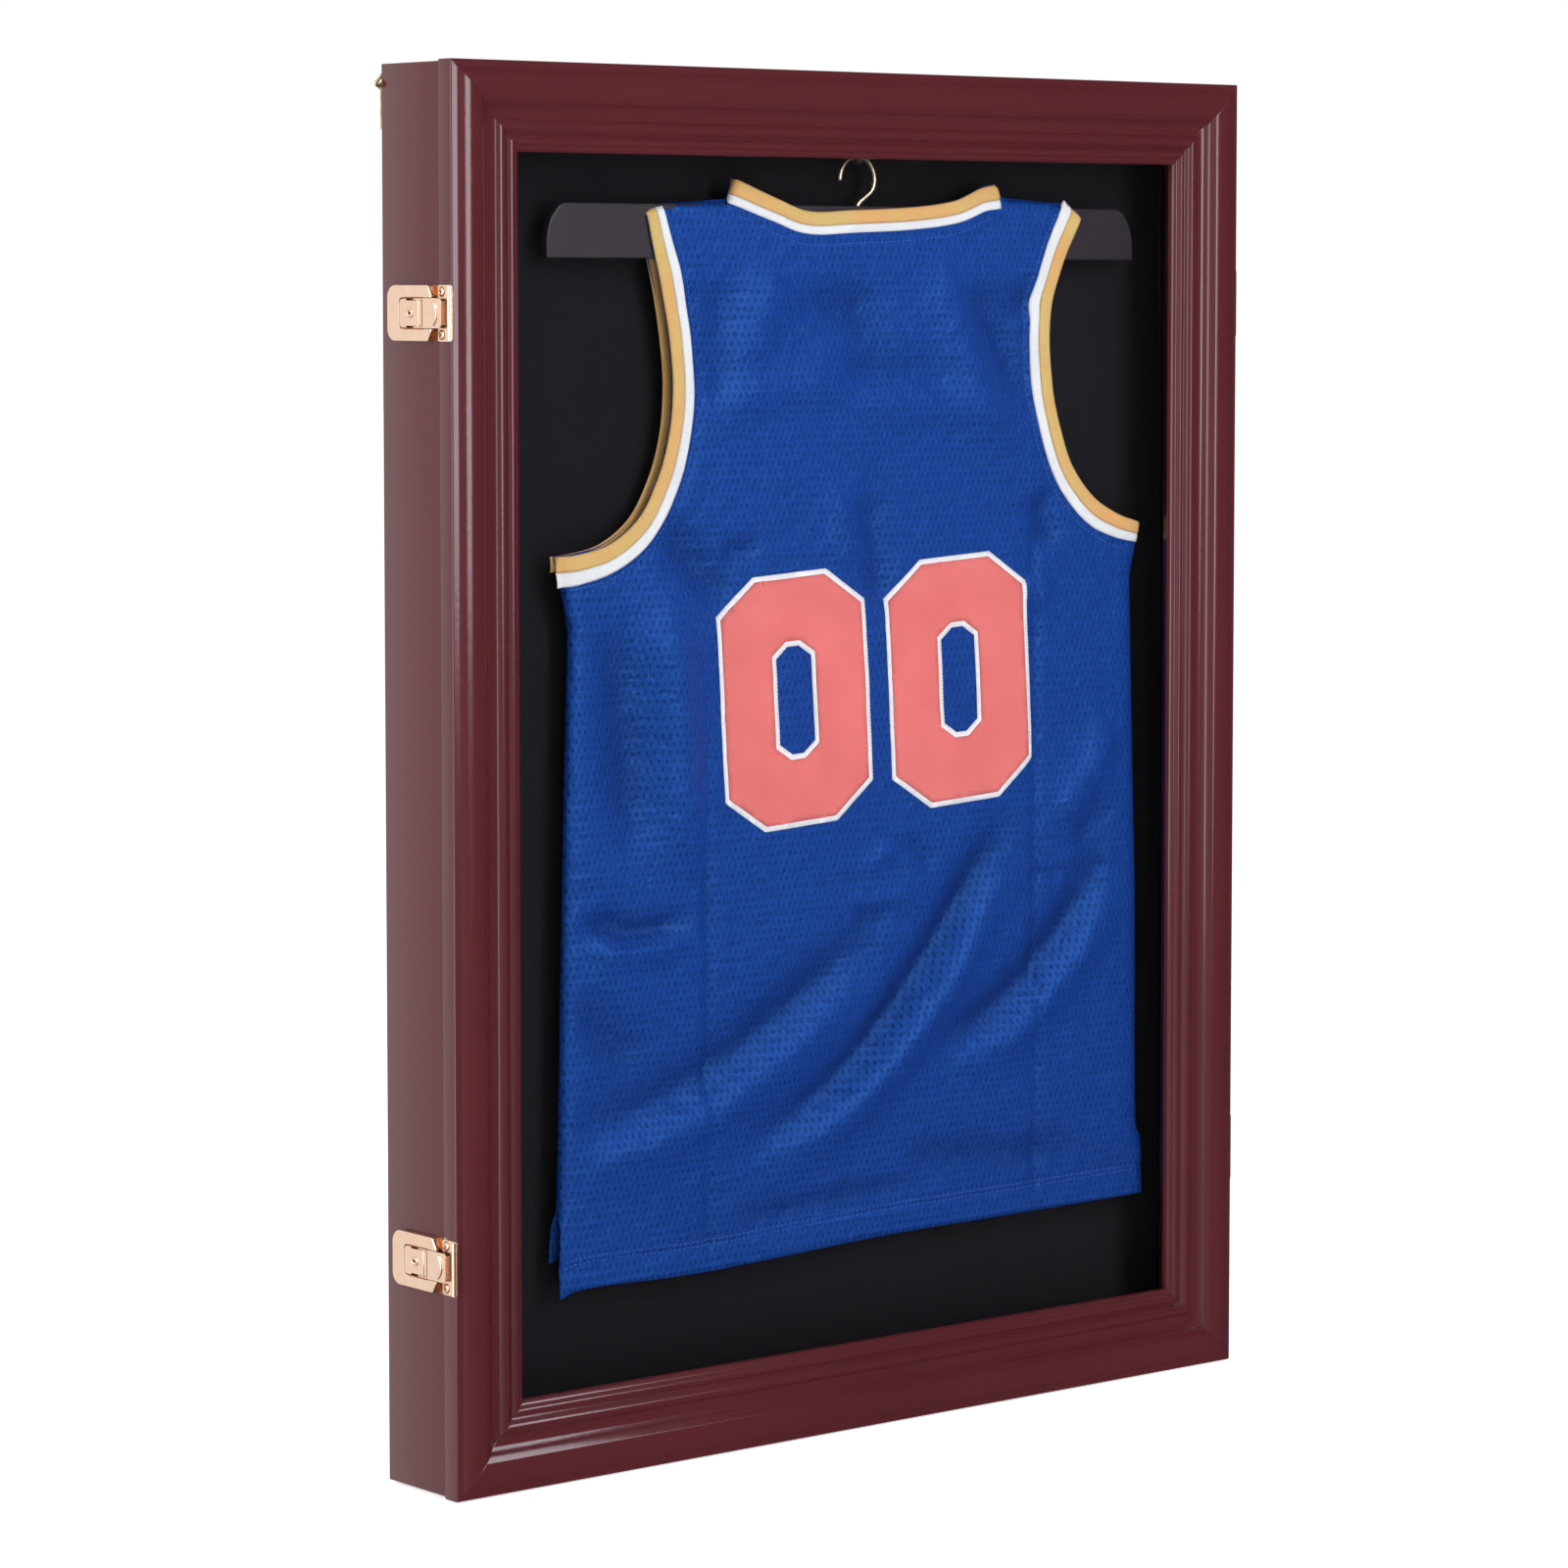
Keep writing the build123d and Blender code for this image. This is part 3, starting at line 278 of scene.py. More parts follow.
# %% Painted wood
finishes = {}
cherry_dark = (0.054, 0.0092, 0.0125)
cherry_warm = (0.070, 0.0122, 0.0158)
lacquer_ripple = 210.0      # ripples to a metre
material, tree, shader = start_material("painted_wood", IOR=1.5)
place = object_place(tree)
patches = noise(tree, place, 9.0, 3.0)
tree.links.new(colours(tree, patches, cherry_dark, cherry_warm), shader.inputs["Base Color"])
fine = noise(tree, place, 900.0, 1.0)
tree.links.new(between(tree, fine, 0.13, 0.19), shader.inputs["Roughness"])
ripple = noise(tree, place, lacquer_ripple, 2.0, 0.45)
raise_bump(tree, shader, ripple, 0.00006, 0.7)
finishes["painted_wood"] = material
print("lacquer ripples are about", round(1000 / lacquer_ripple, 1), "mm apart")

# %% [markdown]
# The felt is matt black with a short nap, so it has no highlight, only a dusty sheen and a fine tangle
# of fibres. The back panel is plain hardboard, a pressed brown board with a speckle of fibres.

# %% Felt and hardboard
material, tree, shader = start_material("black_felt", Roughness=0.95, Specular_IOR_Level=0.15,
                                        Sheen_Weight=0.03, Sheen_Roughness=0.5)
place = object_place(tree)
fibres = noise(tree, place, 1400.0, 4.0, 0.7)
tree.links.new(colours(tree, fibres, (0.0045, 0.0045, 0.0062), (0.0105, 0.0103, 0.0135)),
               shader.inputs["Base Color"])
raise_bump(tree, shader, fibres, 0.0004, 0.8)
finishes["black_felt"] = material

material, tree, shader = start_material("raw_board", Roughness=0.75, Specular_IOR_Level=0.3)
place = object_place(tree)
speckle = noise(tree, place, 700.0, 6.0, 0.75)
tree.links.new(colours(tree, speckle, (0.13, 0.068, 0.032), (0.34, 0.21, 0.115)), shader.inputs["Base Color"])
pressing = noise(tree, place, 260.0, 4.0, 0.6)
raise_bump(tree, shader, pressing, 0.0003, 0.6)
finishes["raw_board"] = material
print("felt and hardboard are ready")

# %% [markdown]
# Clear acrylic only adds a thin mirror image to what is behind it. A Transparent and a Glossy shader,
# mixed by Fresnel, do that and let the lamps light the inside of the case.

# %% Acrylic
material, tree, shader = start_material("clear_acrylic")
tree.nodes.remove(shader)
acrylic_index = 1.22
see_through = add_node(tree, "ShaderNodeBsdfTransparent", {"Color": (0.985, 0.99, 0.99, 1)})
mirror = add_node(tree, "ShaderNodeBsdfGlossy", {"Roughness": 0.02})
edge_on = add_node(tree, "ShaderNodeFresnel", {"IOR": acrylic_index})
pane = add_node(tree, "ShaderNodeMixShader", {0: edge_on.outputs[0], 1: see_through.outputs[0],
                                              2: mirror.outputs[0]})
tree.links.new(pane.outputs[0], tree.nodes["Material Output"].inputs["Surface"])
finishes["clear_acrylic"] = material
print("acrylic bends light by an index of", acrylic_index)

# %% [markdown]
# The metals differ in colour and in how finely they are polished. Each has hairlines: noise stretched
# far along one direction, as a polishing mop leaves, which spreads the highlight a little.


# %% Metals
def metal(name, colour, dull, roughness, hairline, depth=0.00002):
    """A polished or aged metal. Its tone drifts to the dull colour in soft patches."""
    material, tree, shader = start_material(name, Metallic=1.0)
    place = object_place(tree)
    patches = noise(tree, place, 160.0, 3.0)
    tree.links.new(colours(tree, between(tree, patches, 0.0, 1.0), colour, dull),
                   shader.inputs["Base Color"])
    lines = noise(tree, place, 420.0, 3.0, 0.6, hairline)
    tree.links.new(between(tree, lines, roughness * 0.75, roughness * 1.3), shader.inputs["Roughness"])
    raise_bump(tree, shader, lines, depth, 0.5)
    finishes[name] = material


metal("latch_gold", (0.93, 0.68, 0.52), (0.90, 0.63, 0.46), 0.22, (1, 1, 9))
metal("hook_brass", (0.88, 0.75, 0.50), (0.78, 0.64, 0.39), 0.34, (9, 9, 1))
metal("aged_brass", (0.60, 0.44, 0.20), (0.34, 0.24, 0.11), 0.36, (1, 4, 4), 0.00005)
metal("hinge_brass", (0.72, 0.53, 0.26), (0.52, 0.37, 0.17), 0.3, (1, 1, 9))
metal("steel", (0.52, 0.52, 0.54), (0.40, 0.40, 0.42), 0.32, (1, 9, 9))
print("finishes so far:", list(finishes))

# %% [markdown]
# The hanger's bar is smoked plastic, moulded with a faint even grain.

# %% Smoked plastic
material, tree, shader = start_material("smoked_plastic", Roughness=0.42, Coat_Weight=0.15, IOR=1.45)
place = object_place(tree)
grain = noise(tree, place, 1100.0, 2.0)
drift = noise(tree, place, 22.0, 2.0)
tree.links.new(colours(tree, drift, (0.020, 0.0140, 0.0195), (0.027, 0.0195, 0.0265)),
               shader.inputs["Base Color"])
raise_bump(tree, shader, grain, 0.00004, 0.5)
finishes["smoked_plastic"] = material
print("smoked plastic is ready")

# %% [markdown]
# ## Cloth finishes
# Sports jersey cloth is a shiny knit with rows of small holes, staggered like bricks. The holes are
# worked out from the Object coordinates: each cell of the lattice holds one upright oval. Fine upright
# streaks stand for the columns of loops in the knit. The cloth's points carry an attribute for how deep
# in a fold they lie, and the colour is darkened there: painted shade, for the shadow a fold's hollow holds.

# %% Jersey mesh
hole_across, hole_up = 0.0043, 0.0050     # metres from hole to hole
oval_across, oval_up = 5.4, 3.4           # the larger, the narrower the oval is in its cell
dye_deep, dye_bright = (0.0040, 0.032, 0.196), (0.0076, 0.054, 0.288)
dye_in_hole, hole_share = (0.0028, 0.018, 0.12, 1), 0.85
# the colour of the painted shade deep in a fold's hollow
fold_shadow = (0.42, 0.46, 0.52)
material, tree, shader = start_material("jersey_mesh", Roughness=0.43, Specular_IOR_Level=0.8,
                                        Specular_Tint=(0.1, 0.36, 1.0, 1), Sheen_Weight=0.05,
                                        Sheen_Roughness=0.3, Sheen_Tint=(0.2, 0.45, 1.0, 1))
place = object_place(tree)
axes = add_node(tree, "ShaderNodeSeparateXYZ", {0: place})
row = maths(tree, "DIVIDE", axes.outputs["Z"], hole_up)
odd_row = maths(tree, "FLOORED_MODULO", maths(tree, "FLOOR", row), 2.0)
column = maths(tree, "MULTIPLY_ADD", odd_row, 0.5, maths(tree, "DIVIDE", axes.outputs["X"], hole_across))
off_x = maths(tree, "SUBTRACT", maths(tree, "FRACT", column), 0.5)
off_z = maths(tree, "SUBTRACT", maths(tree, "FRACT", row), 0.5)
oval = maths(tree, "ADD", maths(tree, "POWER", maths(tree, "MULTIPLY", off_x, oval_across), 2.0),
             maths(tree, "POWER", maths(tree, "MULTIPLY", off_z, oval_up), 2.0))
hole = add_node(tree, "ShaderNodeMapRange", {"Value": oval, "From Min": 0.35, "From Max": 1.5,
                                             "To Min": 1.0, "To Max": 0.0}).outputs[0]
streaks = noise(tree, place, 900.0, 3.0, 0.65, (1.0, 1.0, 0.16))
cloth_colour = colours(tree, between(tree, streaks, 0.0, 1.0), dye_deep, dye_bright)
holed = add_node(tree, "ShaderNodeMix", {"B": dye_in_hole}, data_type="RGBA")
tree.links.new(maths(tree, "MULTIPLY", hole, hole_share), holed.inputs["Factor"])
tree.links.new(cloth_colour, holed.inputs["A"])
# painted shade: the colour darkens with the fold depth attribute, for the shadow held in the hollows of folds
fold_shade = add_node(tree, "ShaderNodeAttribute", attribute_name="fold_shade").outputs["Fac"]
shadow = colours(tree, fold_shade, (1, 1, 1), fold_shadow)
tree.links.new(multiplied(tree, holed.outputs["Result"], shadow), shader.inputs["Base Color"])
knit = maths(tree, "SUBTRACT", maths(tree, "MULTIPLY", streaks, 0.5), hole)
crinkle = noise(tree, place, 75.0, 4.0, 0.55, (1.0, 1.0, 1.6))
raise_bump(tree, shader, maths(tree, "MULTIPLY_ADD", crinkle, 9.0, knit), 0.00028, 0.75)
finishes["jersey_mesh"] = material
print("a square decimetre of the knit has", round(0.01 / hole_across / hole_up), "holes")

# %% [markdown]
# The edges are bound with ribbed tape. A rib runs across the tape, so its pattern follows the tape's own
# UV map: U is the distance along the tape in metres. The numbers are cut from twill, whose fine
# diagonal cords are made from Object coordinates in the same way.


# %% Tape and twill
def tape(name, first, second, ribs=0.0011):
    """Ribbed knit tape that drifts between two colours along its length."""
    material, tree, shader = start_material(name, Roughness=0.72, Specular_IOR_Level=0.25,
                                            Sheen_Weight=0.1, Sheen_Roughness=0.4)
    along = add_node(tree, "ShaderNodeSeparateXYZ", {0: add_node(tree, "ShaderNodeUVMap").outputs[0]})
    place = object_place(tree)
    drift = between(tree, noise(tree, place, 38.0, 3.0), 0.0, 1.0)
    wave = maths(tree, "SINE", maths(tree, "MULTIPLY", along.outputs["X"], 2 * pi / ribs))
    between_ribs = maths(tree, "MULTIPLY_ADD", wave, -0.5, 0.5)
    shadow = colours(tree, between_ribs, (1, 1, 1), (0.86, 0.85, 0.84))
    tree.links.new(multiplied(tree, colours(tree, drift, first, second), shadow),
                   shader.inputs["Base Color"])
    raise_bump(tree, shader, wave, 0.00010, 0.5)
    return material


def twill(name, first, second, cords=0.0009):
    """Woven twill with fine diagonal cords."""
    material, tree, shader = start_material(name, Roughness=0.62, Specular_IOR_Level=0.3,
                                            Sheen_Weight=0.05, Sheen_Roughness=0.4)
    place = object_place(tree)
    axes = add_node(tree, "ShaderNodeSeparateXYZ", {0: place})
    slant = maths(tree, "ADD", axes.outputs["X"], maths(tree, "MULTIPLY", axes.outputs["Z"], 0.6))
    wave = maths(tree, "SINE", maths(tree, "MULTIPLY", slant, 2 * pi / cords))
    drift = between(tree, noise(tree, place, 30.0, 3.0), 0.0, 1.0)
    tree.links.new(colours(tree, drift, first, second), shader.inputs["Base Color"])
    raise_bump(tree, shader, wave, 0.00006, 0.4)
    return material


gold_tape = tape("gold_tape", (0.64, 0.46, 0.16), (0.72, 0.38, 0.14))
orange_tape = tape("orange_tape", (0.82, 0.45, 0.15), (0.86, 0.54, 0.20))
white_tape = tape("white_tape", (0.80, 0.81, 0.80), (0.72, 0.74, 0.74))
coral_twill = twill("coral_twill", (0.67, 0.145, 0.135), (0.72, 0.17, 0.155))
white_twill = twill("white_twill", (0.80, 0.81, 0.80), (0.74, 0.75, 0.76))
blue_thread = grained("blue_thread", 3000.0, 1.0, 0.5, Base_Color=(0.03, 0.11, 0.48, 1), Roughness=0.5)
white_thread = grained("white_thread", 3000.0, 1.0, 0.5, Base_Color=(0.74, 0.75, 0.75, 1), Roughness=0.55)
print("tapes, twills and threads are ready")

# %% Give every CAD node its finish
slot_of = {}
for name, node in nodes.items():
    slot_of[name] = node.material_slots[0].material.name
    node.material_slots[0].material = finishes[slot_of[name]]
print(len(nodes), "CAD nodes have a finish")

# %% [markdown]
# ## Helpers for finished pieces
# A new piece rides on a body; where it stands for a CAD node, it rides on that node's body and the
# node is hidden.


# %% Piece helpers
def body_of(name):
    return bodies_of(nodes[name])[0]


def new_piece(name, mesh, material, body, stands_for=()):
    """Put a finished mesh in the scene, riding on a body."""
    piece = bpy.data.objects.new(name, mesh)
    bpy.context.scene.collection.objects.link(piece)
    if material:
        mesh.materials.clear()
        mesh.materials.append(material)
    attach(piece, body)
    if stands_for:
        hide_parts(*stands_for)
    return piece


def mesh_from(name, points, faces, smooth_angle=30.0):
    """A mesh in metres, smooth except where faces meet at more than the given angle."""
    mesh = bpy.data.meshes.new(name)
    mesh.from_pydata([tuple(p) for p in points], [], [tuple(f) for f in faces])
    mesh.validate()
    mesh.shade_smooth()
    mesh.set_sharp_from_angle(angle=radians(smooth_angle))
    return mesh


def face_outwards(mesh):
    """Turn every face of a closed mesh outwards."""
    shape = bmesh.new()
    shape.from_mesh(mesh)
    bmesh.ops.recalc_face_normals(shape, faces=shape.faces)
    shape.to_mesh(mesh)
    shape.free()
    return mesh


def round_edges(piece, width, segments, angle):
    """Round the edges where faces meet at more than the angle, in degrees."""
    bevel = piece.modifiers.new("rounding", "BEVEL")
    bevel.width = width
    bevel.segments = segments
    bevel.limit_method = "ANGLE"
    bevel.angle_limit = radians(angle)
    bevel.miter_outer = "MITER_ARC"
    bevel.harden_normals = True
    return piece


def softened(name, width, segments=3, angle=28.0):
    """A copy of a CAD node with its edges rounded over by a Bevel, standing for the plain one."""
    shape = bmesh.new()
    shape.from_mesh(nodes[name].data)
    bmesh.ops.remove_doubles(shape, verts=shape.verts, dist=2e-6)
    bmesh.ops.dissolve_limit(shape, angle_limit=radians(1.0), verts=shape.verts, edges=shape.edges)
    mesh = mesh_of(f"{name}_soft", shape)
    if mesh.attributes.get("custom_normal"):
        mesh.attributes.remove(mesh.attributes["custom_normal"])
    mesh.shade_smooth()
    slot = slot_of[name]
    piece = new_piece(f"{name}_finished", mesh, finishes[slot], body_of(name), (name,))
    return round_edges(piece, width, segments, angle)


print("piece helpers are ready")

# %% [markdown]
# ## Mouldings and boards
# The door is four lengths of one moulding and the case is four plain boards, all mitred. The section is
# drawn once, from arcs, and carried to each side. Near each mitre the section shrinks by a hair, which
# leaves the fine groove that a joiner's eye looks for. Modelling it gives the groove its own highlight.

# %% The moulding's section
mm = 0.001
moulding_width, lip_depth, lip_wide = 50.0, 12.0, 10.0     # millimetres; the lip holds the pane
door_low, door_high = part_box("door_left_stile")
door_front, door_back = door_low.y, door_high.y


def arc(first, middle, last, steps=10):
    """Points on the circle through three points, from the first up to, but without, the last."""
    (ax, ay), (bx, by), (cx, cy) = first, middle, last
    d = 2 * (ax * (by - cy) + bx * (cy - ay) + cx * (ay - by))
    ux = ((ax**2 + ay**2) * (by - cy) + (bx**2 + by**2) * (cy - ay) + (cx**2 + cy**2) * (ay - by)) / d
    uy = ((ax**2 + ay**2) * (cx - bx) + (bx**2 + by**2) * (ax - cx) + (cx**2 + cy**2) * (bx - ax)) / d
    angles = [atan2(y - uy, x - ux) for x, y in (first, middle, last)]
    for i in (1, 2):
        while angles[i] - angles[i - 1] > pi:
            angles[i] -= 2 * pi
        while angles[i] - angles[i - 1] < -pi:
            angles[i] += 2 * pi
    radius = ((ax - ux) ** 2 + (ay - uy) ** 2) ** 0.5
    turns = [angles[0] + (angles[2] - angles[0]) * k / steps for k in range(steps)]
    return [(ux + radius * cos(t), uy + radius * sin(t)) for t in turns]


# each point is (distance in from the outer edge, drop behind the crest), in millimetres
door_depth = (door_back - door_front) / mm
door_section = (
    [(0.7, door_depth), (0.2, door_depth - 0.2), (0, door_depth - 0.7)]
    + arc((0, 3.4), (0.3, 2.8), (1.0, 2.5), 6) + [(1.0, 2.5)]
    + arc((4.0, 2.4), (8.4, 0.5), (14.0, 0.0), 14) + arc((14.0, 0.0), (19.0, 0.8), (23.4, 2.8), 12)
    + [(23.4, 2.8)] + arc((23.8, 3.9), (27.4, 5.5), (32.2, 6.0), 12)
    + arc((32.2, 6.0), (35.8, 4.1), (39.6, 6.2), 14) + [(39.6, 6.2)]
    + arc((41.2, 6.7), (44.0, 5.4), (46.7, 6.9), 12)
    + arc((46.7, 6.9), (48.7, 7.5), (moulding_width, 9.0), 8)
    + [(moulding_width, 9.0), (moulding_width, lip_depth)]
    + [(moulding_width - lip_wide, lip_depth), (moulding_width - lip_wide, door_depth)]
)
print("the moulding's section has", len(door_section), "points")


# %% Mitred rails
def mitred_rail(name, side, section, half_width, half_height, node):
    """Carry a section, in millimetres, along one side of a rectangle, mitred at both ends."""
    ring = np.array(section) * mm
    step = np.roll(ring, -1, 0) - np.roll(ring, 1, 0)
    inward = np.stack([step[:, 1], -step[:, 0]], 1)
    inward /= np.linalg.norm(inward, axis=1)[:, None]
    area = sum(a[0] * b[1] - b[0] * a[1] for a, b in zip(ring, np.roll(ring, -1, 0)))
    tight = ring + inward * (groove_depth if area < 0 else -groove_depth)
    half = half_height if side in ("left", "right") else half_width
    stations = [(-1, tight, 0.0), (-1, ring, groove_reach), (1, ring, groove_reach), (1, tight, 0.0)]
    points = []
    for end, loop, back in stations:
        for x, y in loop:
            along = end * (half - x - back)
            points.append({
                "left": (-half_width + x, y, along), "right": (half_width - x, y, -along),
                "top": (-along, y, half_height - x), "bottom": (along, y, -half_height + x),
            }[side])
    count = len(section)
    faces = [tuple(range(count)), tuple(reversed(range(3 * count, 4 * count)))]
    for k in range(3):
        for i in range(count):
            j = (i + 1) % count
            faces.append((k * count + j, k * count + i, (k + 1) * count + i, (k + 1) * count + j))
    mesh = face_outwards(mesh_from(name, points, faces, 32.0))
    slot = slot_of[node]
    return new_piece(name, mesh, finishes[slot], body_of(node), (node,))


groove_depth, groove_reach = 0.16 * mm, 0.3 * mm
panel_clearance = 0.5
eased, eased_corner = 0.8, 0.25      # how far the boards' outer edges are planed back
door_half_width, door_half_height = -door_low.x, door_high.z
case_low, case_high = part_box("case_left_board")
board = (case_high.x - case_low.x) / mm
panel_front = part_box("back_panel")[0].y / mm
rabbet = (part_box("back_panel")[1].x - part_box("felt_liner_right")[1].x) / mm + panel_clearance
case_front = case_low.y / mm
board_section = [
    (0, case_front + eased), (eased_corner, case_front + eased_corner), (eased, case_front),
    (board, case_front), (board, panel_front), (board - rabbet, panel_front), (board - rabbet, 0),
    (eased, 0), (eased_corner, -eased_corner), (0, -eased),
]
for side in ("left", "right", "top", "bottom"):
    rail_kind = "stile" if side in ("left", "right") else "rail"
    section = [(x, door_front / mm + y) for x, y in door_section]
    mitred_rail(f"{side}_moulding", side, section, door_half_width, door_half_height,
                f"door_{side}_{rail_kind}")
    mitred_rail(f"{side}_board", side, board_section, -case_low.x, case_high.z, f"case_{side}_board")
print("four mouldings and four boards, with mitre grooves", groove_depth / mm, "mm deep")

# %% [markdown]
# ## Latches, hinges and hanger bar
# Pressed and polished metal never has a knife edge. A Bevel on a merged copy of each CAD piece rounds
# its edges, and the rounding is what catches the light.

# %% Rounded hardware
latch_parts = ("latch_cover", "latch_base", "latch_lever", "latch_hook", "latch_keeper", "lock_cylinder")
for level in ("upper", "lower"):
    for part in latch_parts:
        softened(f"{level}_{part}", 0.22 * mm)
    for part in ("hinge_case_leaf", "hinge_door_leaf", "hinge_pin"):
        softened(f"{level}_{part}", 0.2 * mm, 2)
softened("hanger_ferrule", 0.35 * mm)
print("rounded", 2 * (len(latch_parts) + 3) + 1, "metal pieces")

# %% [markdown]
# A few small shapes make the latch read as a latch: the raised rim of the lock with its key slot, the
# ridge pressed across the lever, the rolled nose of the hook, and the dark gaps above and below the
# lever. The key slot is a dark block and the gaps are strips of darker bronze, both painted shade. The
# base behind the lever is the same darker bronze, painted shade for where it lies behind the lever.

# %% Latch details
# painted shade: a darker bronze for the gaps, the base behind the lever and the latch screws' recesses, and a
# near black for the key slot and the other screws' recesses
slot_bronze = grained("slot_bronze", 900.0, 2.0, 0.4, Base_Color=(0.36, 0.13, 0.04, 1), Metallic=1.0,
                      Roughness=0.45)
key_dark = grained("key_dark", 900.0, 2.0, 0.4, Base_Color=(0.02, 0.014, 0.01, 1), Metallic=0.6,
                   Roughness=0.5)


def block(name, low, high, material, body):
    """A plain box between two corners."""
    shape = bmesh.new()
    bmesh.ops.create_cube(shape, size=1.0)
    low, high = Vector(low), Vector(high)
    bmesh.ops.scale(shape, verts=shape.verts, vec=high - low)
    bmesh.ops.translate(shape, verts=shape.verts, vec=(low + high) / 2)
    return new_piece(name, mesh_of(name, shape), material, body)


def tube(name, line, radius, material, body, sides=14):
    """A round rod along a line, closed by a small dome at each end."""
    line = [Vector(p) for p in line]
    first, last = (line[1] - line[0]).normalized(), (line[-1] - line[-2]).normalized()
    dome = ((0.8, 0.45), (0.4, 0.85))       # how far past the end, and how wide there, in radii
    stations = [(line[0] - first * radius * reach, share, first) for reach, share in dome]
    stations += [(p, 1.0, (b - a).normalized())
                 for a, p, b in zip([line[0], *line], line, [*line[1:], line[-1]])]
    stations += [(line[-1] + last * radius * reach, share, last) for reach, share in reversed(dome)]
    points, faces = [], []
    for place, share, way in stations:
        across = way.cross(Vector((1, 0, 0))).normalized()
        out = way.cross(across)
        points += [place + (across * cos(t) + out * sin(t)) * radius * share
                   for t in (2 * pi * k / sides for k in range(sides))]
    for k in range(len(stations) - 1):
        faces += [(k * sides + i, k * sides + (i + 1) % sides, (k + 1) * sides + (i + 1) % sides,
                   (k + 1) * sides + i) for i in range(sides)]
    faces += [tuple(reversed(range(sides))), tuple(range(len(points) - sides, len(points)))]
    mesh = face_outwards(mesh_from(name, points, faces, 50.0))
    return new_piece(name, mesh, material, body)


print("blocks and tubes are ready")

# %% Dress both latches
rim_radius, rim_wire = 2.1 * mm, 0.55 * mm
lock_in = 3.0 * mm                          # from the lock's front edge to its middle
key_front, key_back, key_half, key_rise = 1.3 * mm, 2.4 * mm, 0.45 * mm, 0.1 * mm
ridge_in, ridge_inset, ridge_wire = 13.0 * mm, 0.8 * mm, 0.42 * mm
nose_out, nose_bow, nose_half, nose_wire = 3.9 * mm, 2.9 * mm, 6.2 * mm, 0.95 * mm
line_front, line_back, line_near, line_far = 9.0 * mm, 27.0 * mm, 0.1 * mm, 0.95 * mm
line_rise, line_sink = 0.08 * mm, 0.3 * mm
gold = finishes["latch_gold"]
case_edge = case_low.y
for level in ("upper", "lower"):
    cover_low, cover_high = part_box(f"{level}_latch_cover")
    lever_low, lever_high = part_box(f"{level}_latch_lever")
    lock_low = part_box(f"{level}_lock_cylinder")[0]
    face, height = cover_low.x, (cover_low.z + cover_high.z) / 2
    lever_half = (lever_high.z - lever_low.z) / 2
    lock_y = lock_low.y + lock_in
    ring = [(lock_low.x, lock_y + rim_radius * cos(t), height + rim_radius * sin(t))
            for t in (2 * pi * k / 24 for k in range(25))]
    tube(f"{level}_lock_rim", ring, rim_wire, gold, f"{level}_lock", 8)
    # the key slot: a dark block of painted shade
    block(f"{level}_key_slot", (lock_low.x - key_rise, lock_y - key_front, height - key_half),
          (lock_low.x + key_rise, lock_y + key_back, height + key_half), key_dark, f"{level}_lock")
    # the base behind the lever in painted shade
    bpy.data.objects[f"{level}_latch_base_finished"].material_slots[0].material = slot_bronze
    ridge = [(face, case_edge + ridge_in, height + end * (lever_half - ridge_inset)) for end in (-1, 1)]
    tube(f"{level}_lever_ridge", ridge, ridge_wire, gold, f"{level}_lever")
    nose = [(face, case_edge - nose_out + nose_bow * share**2, height + share * nose_half)
            for share in (2 * k / 16 - 1 for k in range(17))]
    tube(f"{level}_hook_nose", nose, nose_wire, gold, f"{level}_hook")
    # strips of painted shade in the gaps above and below the lever
    for end, side in ((1, "top"), (-1, "bottom")):
        inner, outer = sorted(height + end * (lever_half + gap) for gap in (line_near, line_far))
        block(f"{level}_slot_line_{side}", (face - line_rise, case_edge + line_front, inner),
              (face + line_sink, case_edge + line_back, outer), slot_bronze, "case")
print("latch details are on")

# %% [markdown]
# The screws are the same small thing many times, so one Geometry Nodes tree makes them: a domed head
# with a crossed slot, sunk in a countersink, copied to every place where the CAD model has a screw. The
# slot and the countersink are dark: painted shade.


# %% The head of a screw
def start_geometry_tree(name, **kinds):
    """A Geometry Nodes tree that takes a mesh and named inputs, and its input sockets."""
    tree = bpy.data.node_groups.new(name, "GeometryNodeTree")
    tree.interface.new_socket("Geometry", in_out="INPUT", socket_type="NodeSocketGeometry")
    for key, kind in kinds.items():
        tree.interface.new_socket(key.replace("_", " "), in_out="INPUT", socket_type=f"NodeSocket{kind}")
    tree.interface.new_socket("Geometry", in_out="OUTPUT", socket_type="NodeSocketGeometry")
    return tree, tree.nodes.new("NodeGroupInput").outputs


slot_length, slot_width, sink_width = 1.15, 0.24, 1.22     # shares of the head's radius
slot_depth, slot_level, sink_depth = 0.5, 0.78, 0.12       # shares of the head's height
screw_tree, given = start_geometry_tree("screw_heads", Head_Radius="Float", Head_Height="Float",
                                        Facing="Vector", Metal="Material", Recess="Material", Seed="Int")
radius, head = given["Head Radius"], given["Head Height"]
dome_size = add_node(screw_tree, "ShaderNodeCombineXYZ", {"X": radius, "Y": radius, "Z": head})
dome = add_node(screw_tree, "GeometryNodeMeshUVSphere", {"Segments": 20, "Rings": 10, "Radius": 1.0})
dome = add_node(screw_tree, "GeometryNodeTransform", {"Geometry": dome.outputs[0],
                                                      "Scale": dome_size.outputs[0]})
dome = add_node(screw_tree, "GeometryNodeSetMaterial", {"Geometry": dome.outputs[0],
                                                        "Material": given["Metal"]})
parts = [dome.outputs[0]]
slot_long = maths(screw_tree, "MULTIPLY", radius, slot_length)
slot_wide = maths(screw_tree, "MULTIPLY", radius, slot_width)
slot_deep = maths(screw_tree, "MULTIPLY", head, slot_depth)
slot_lift = add_node(screw_tree, "ShaderNodeCombineXYZ",
                     {"Z": maths(screw_tree, "MULTIPLY", head, slot_level)})
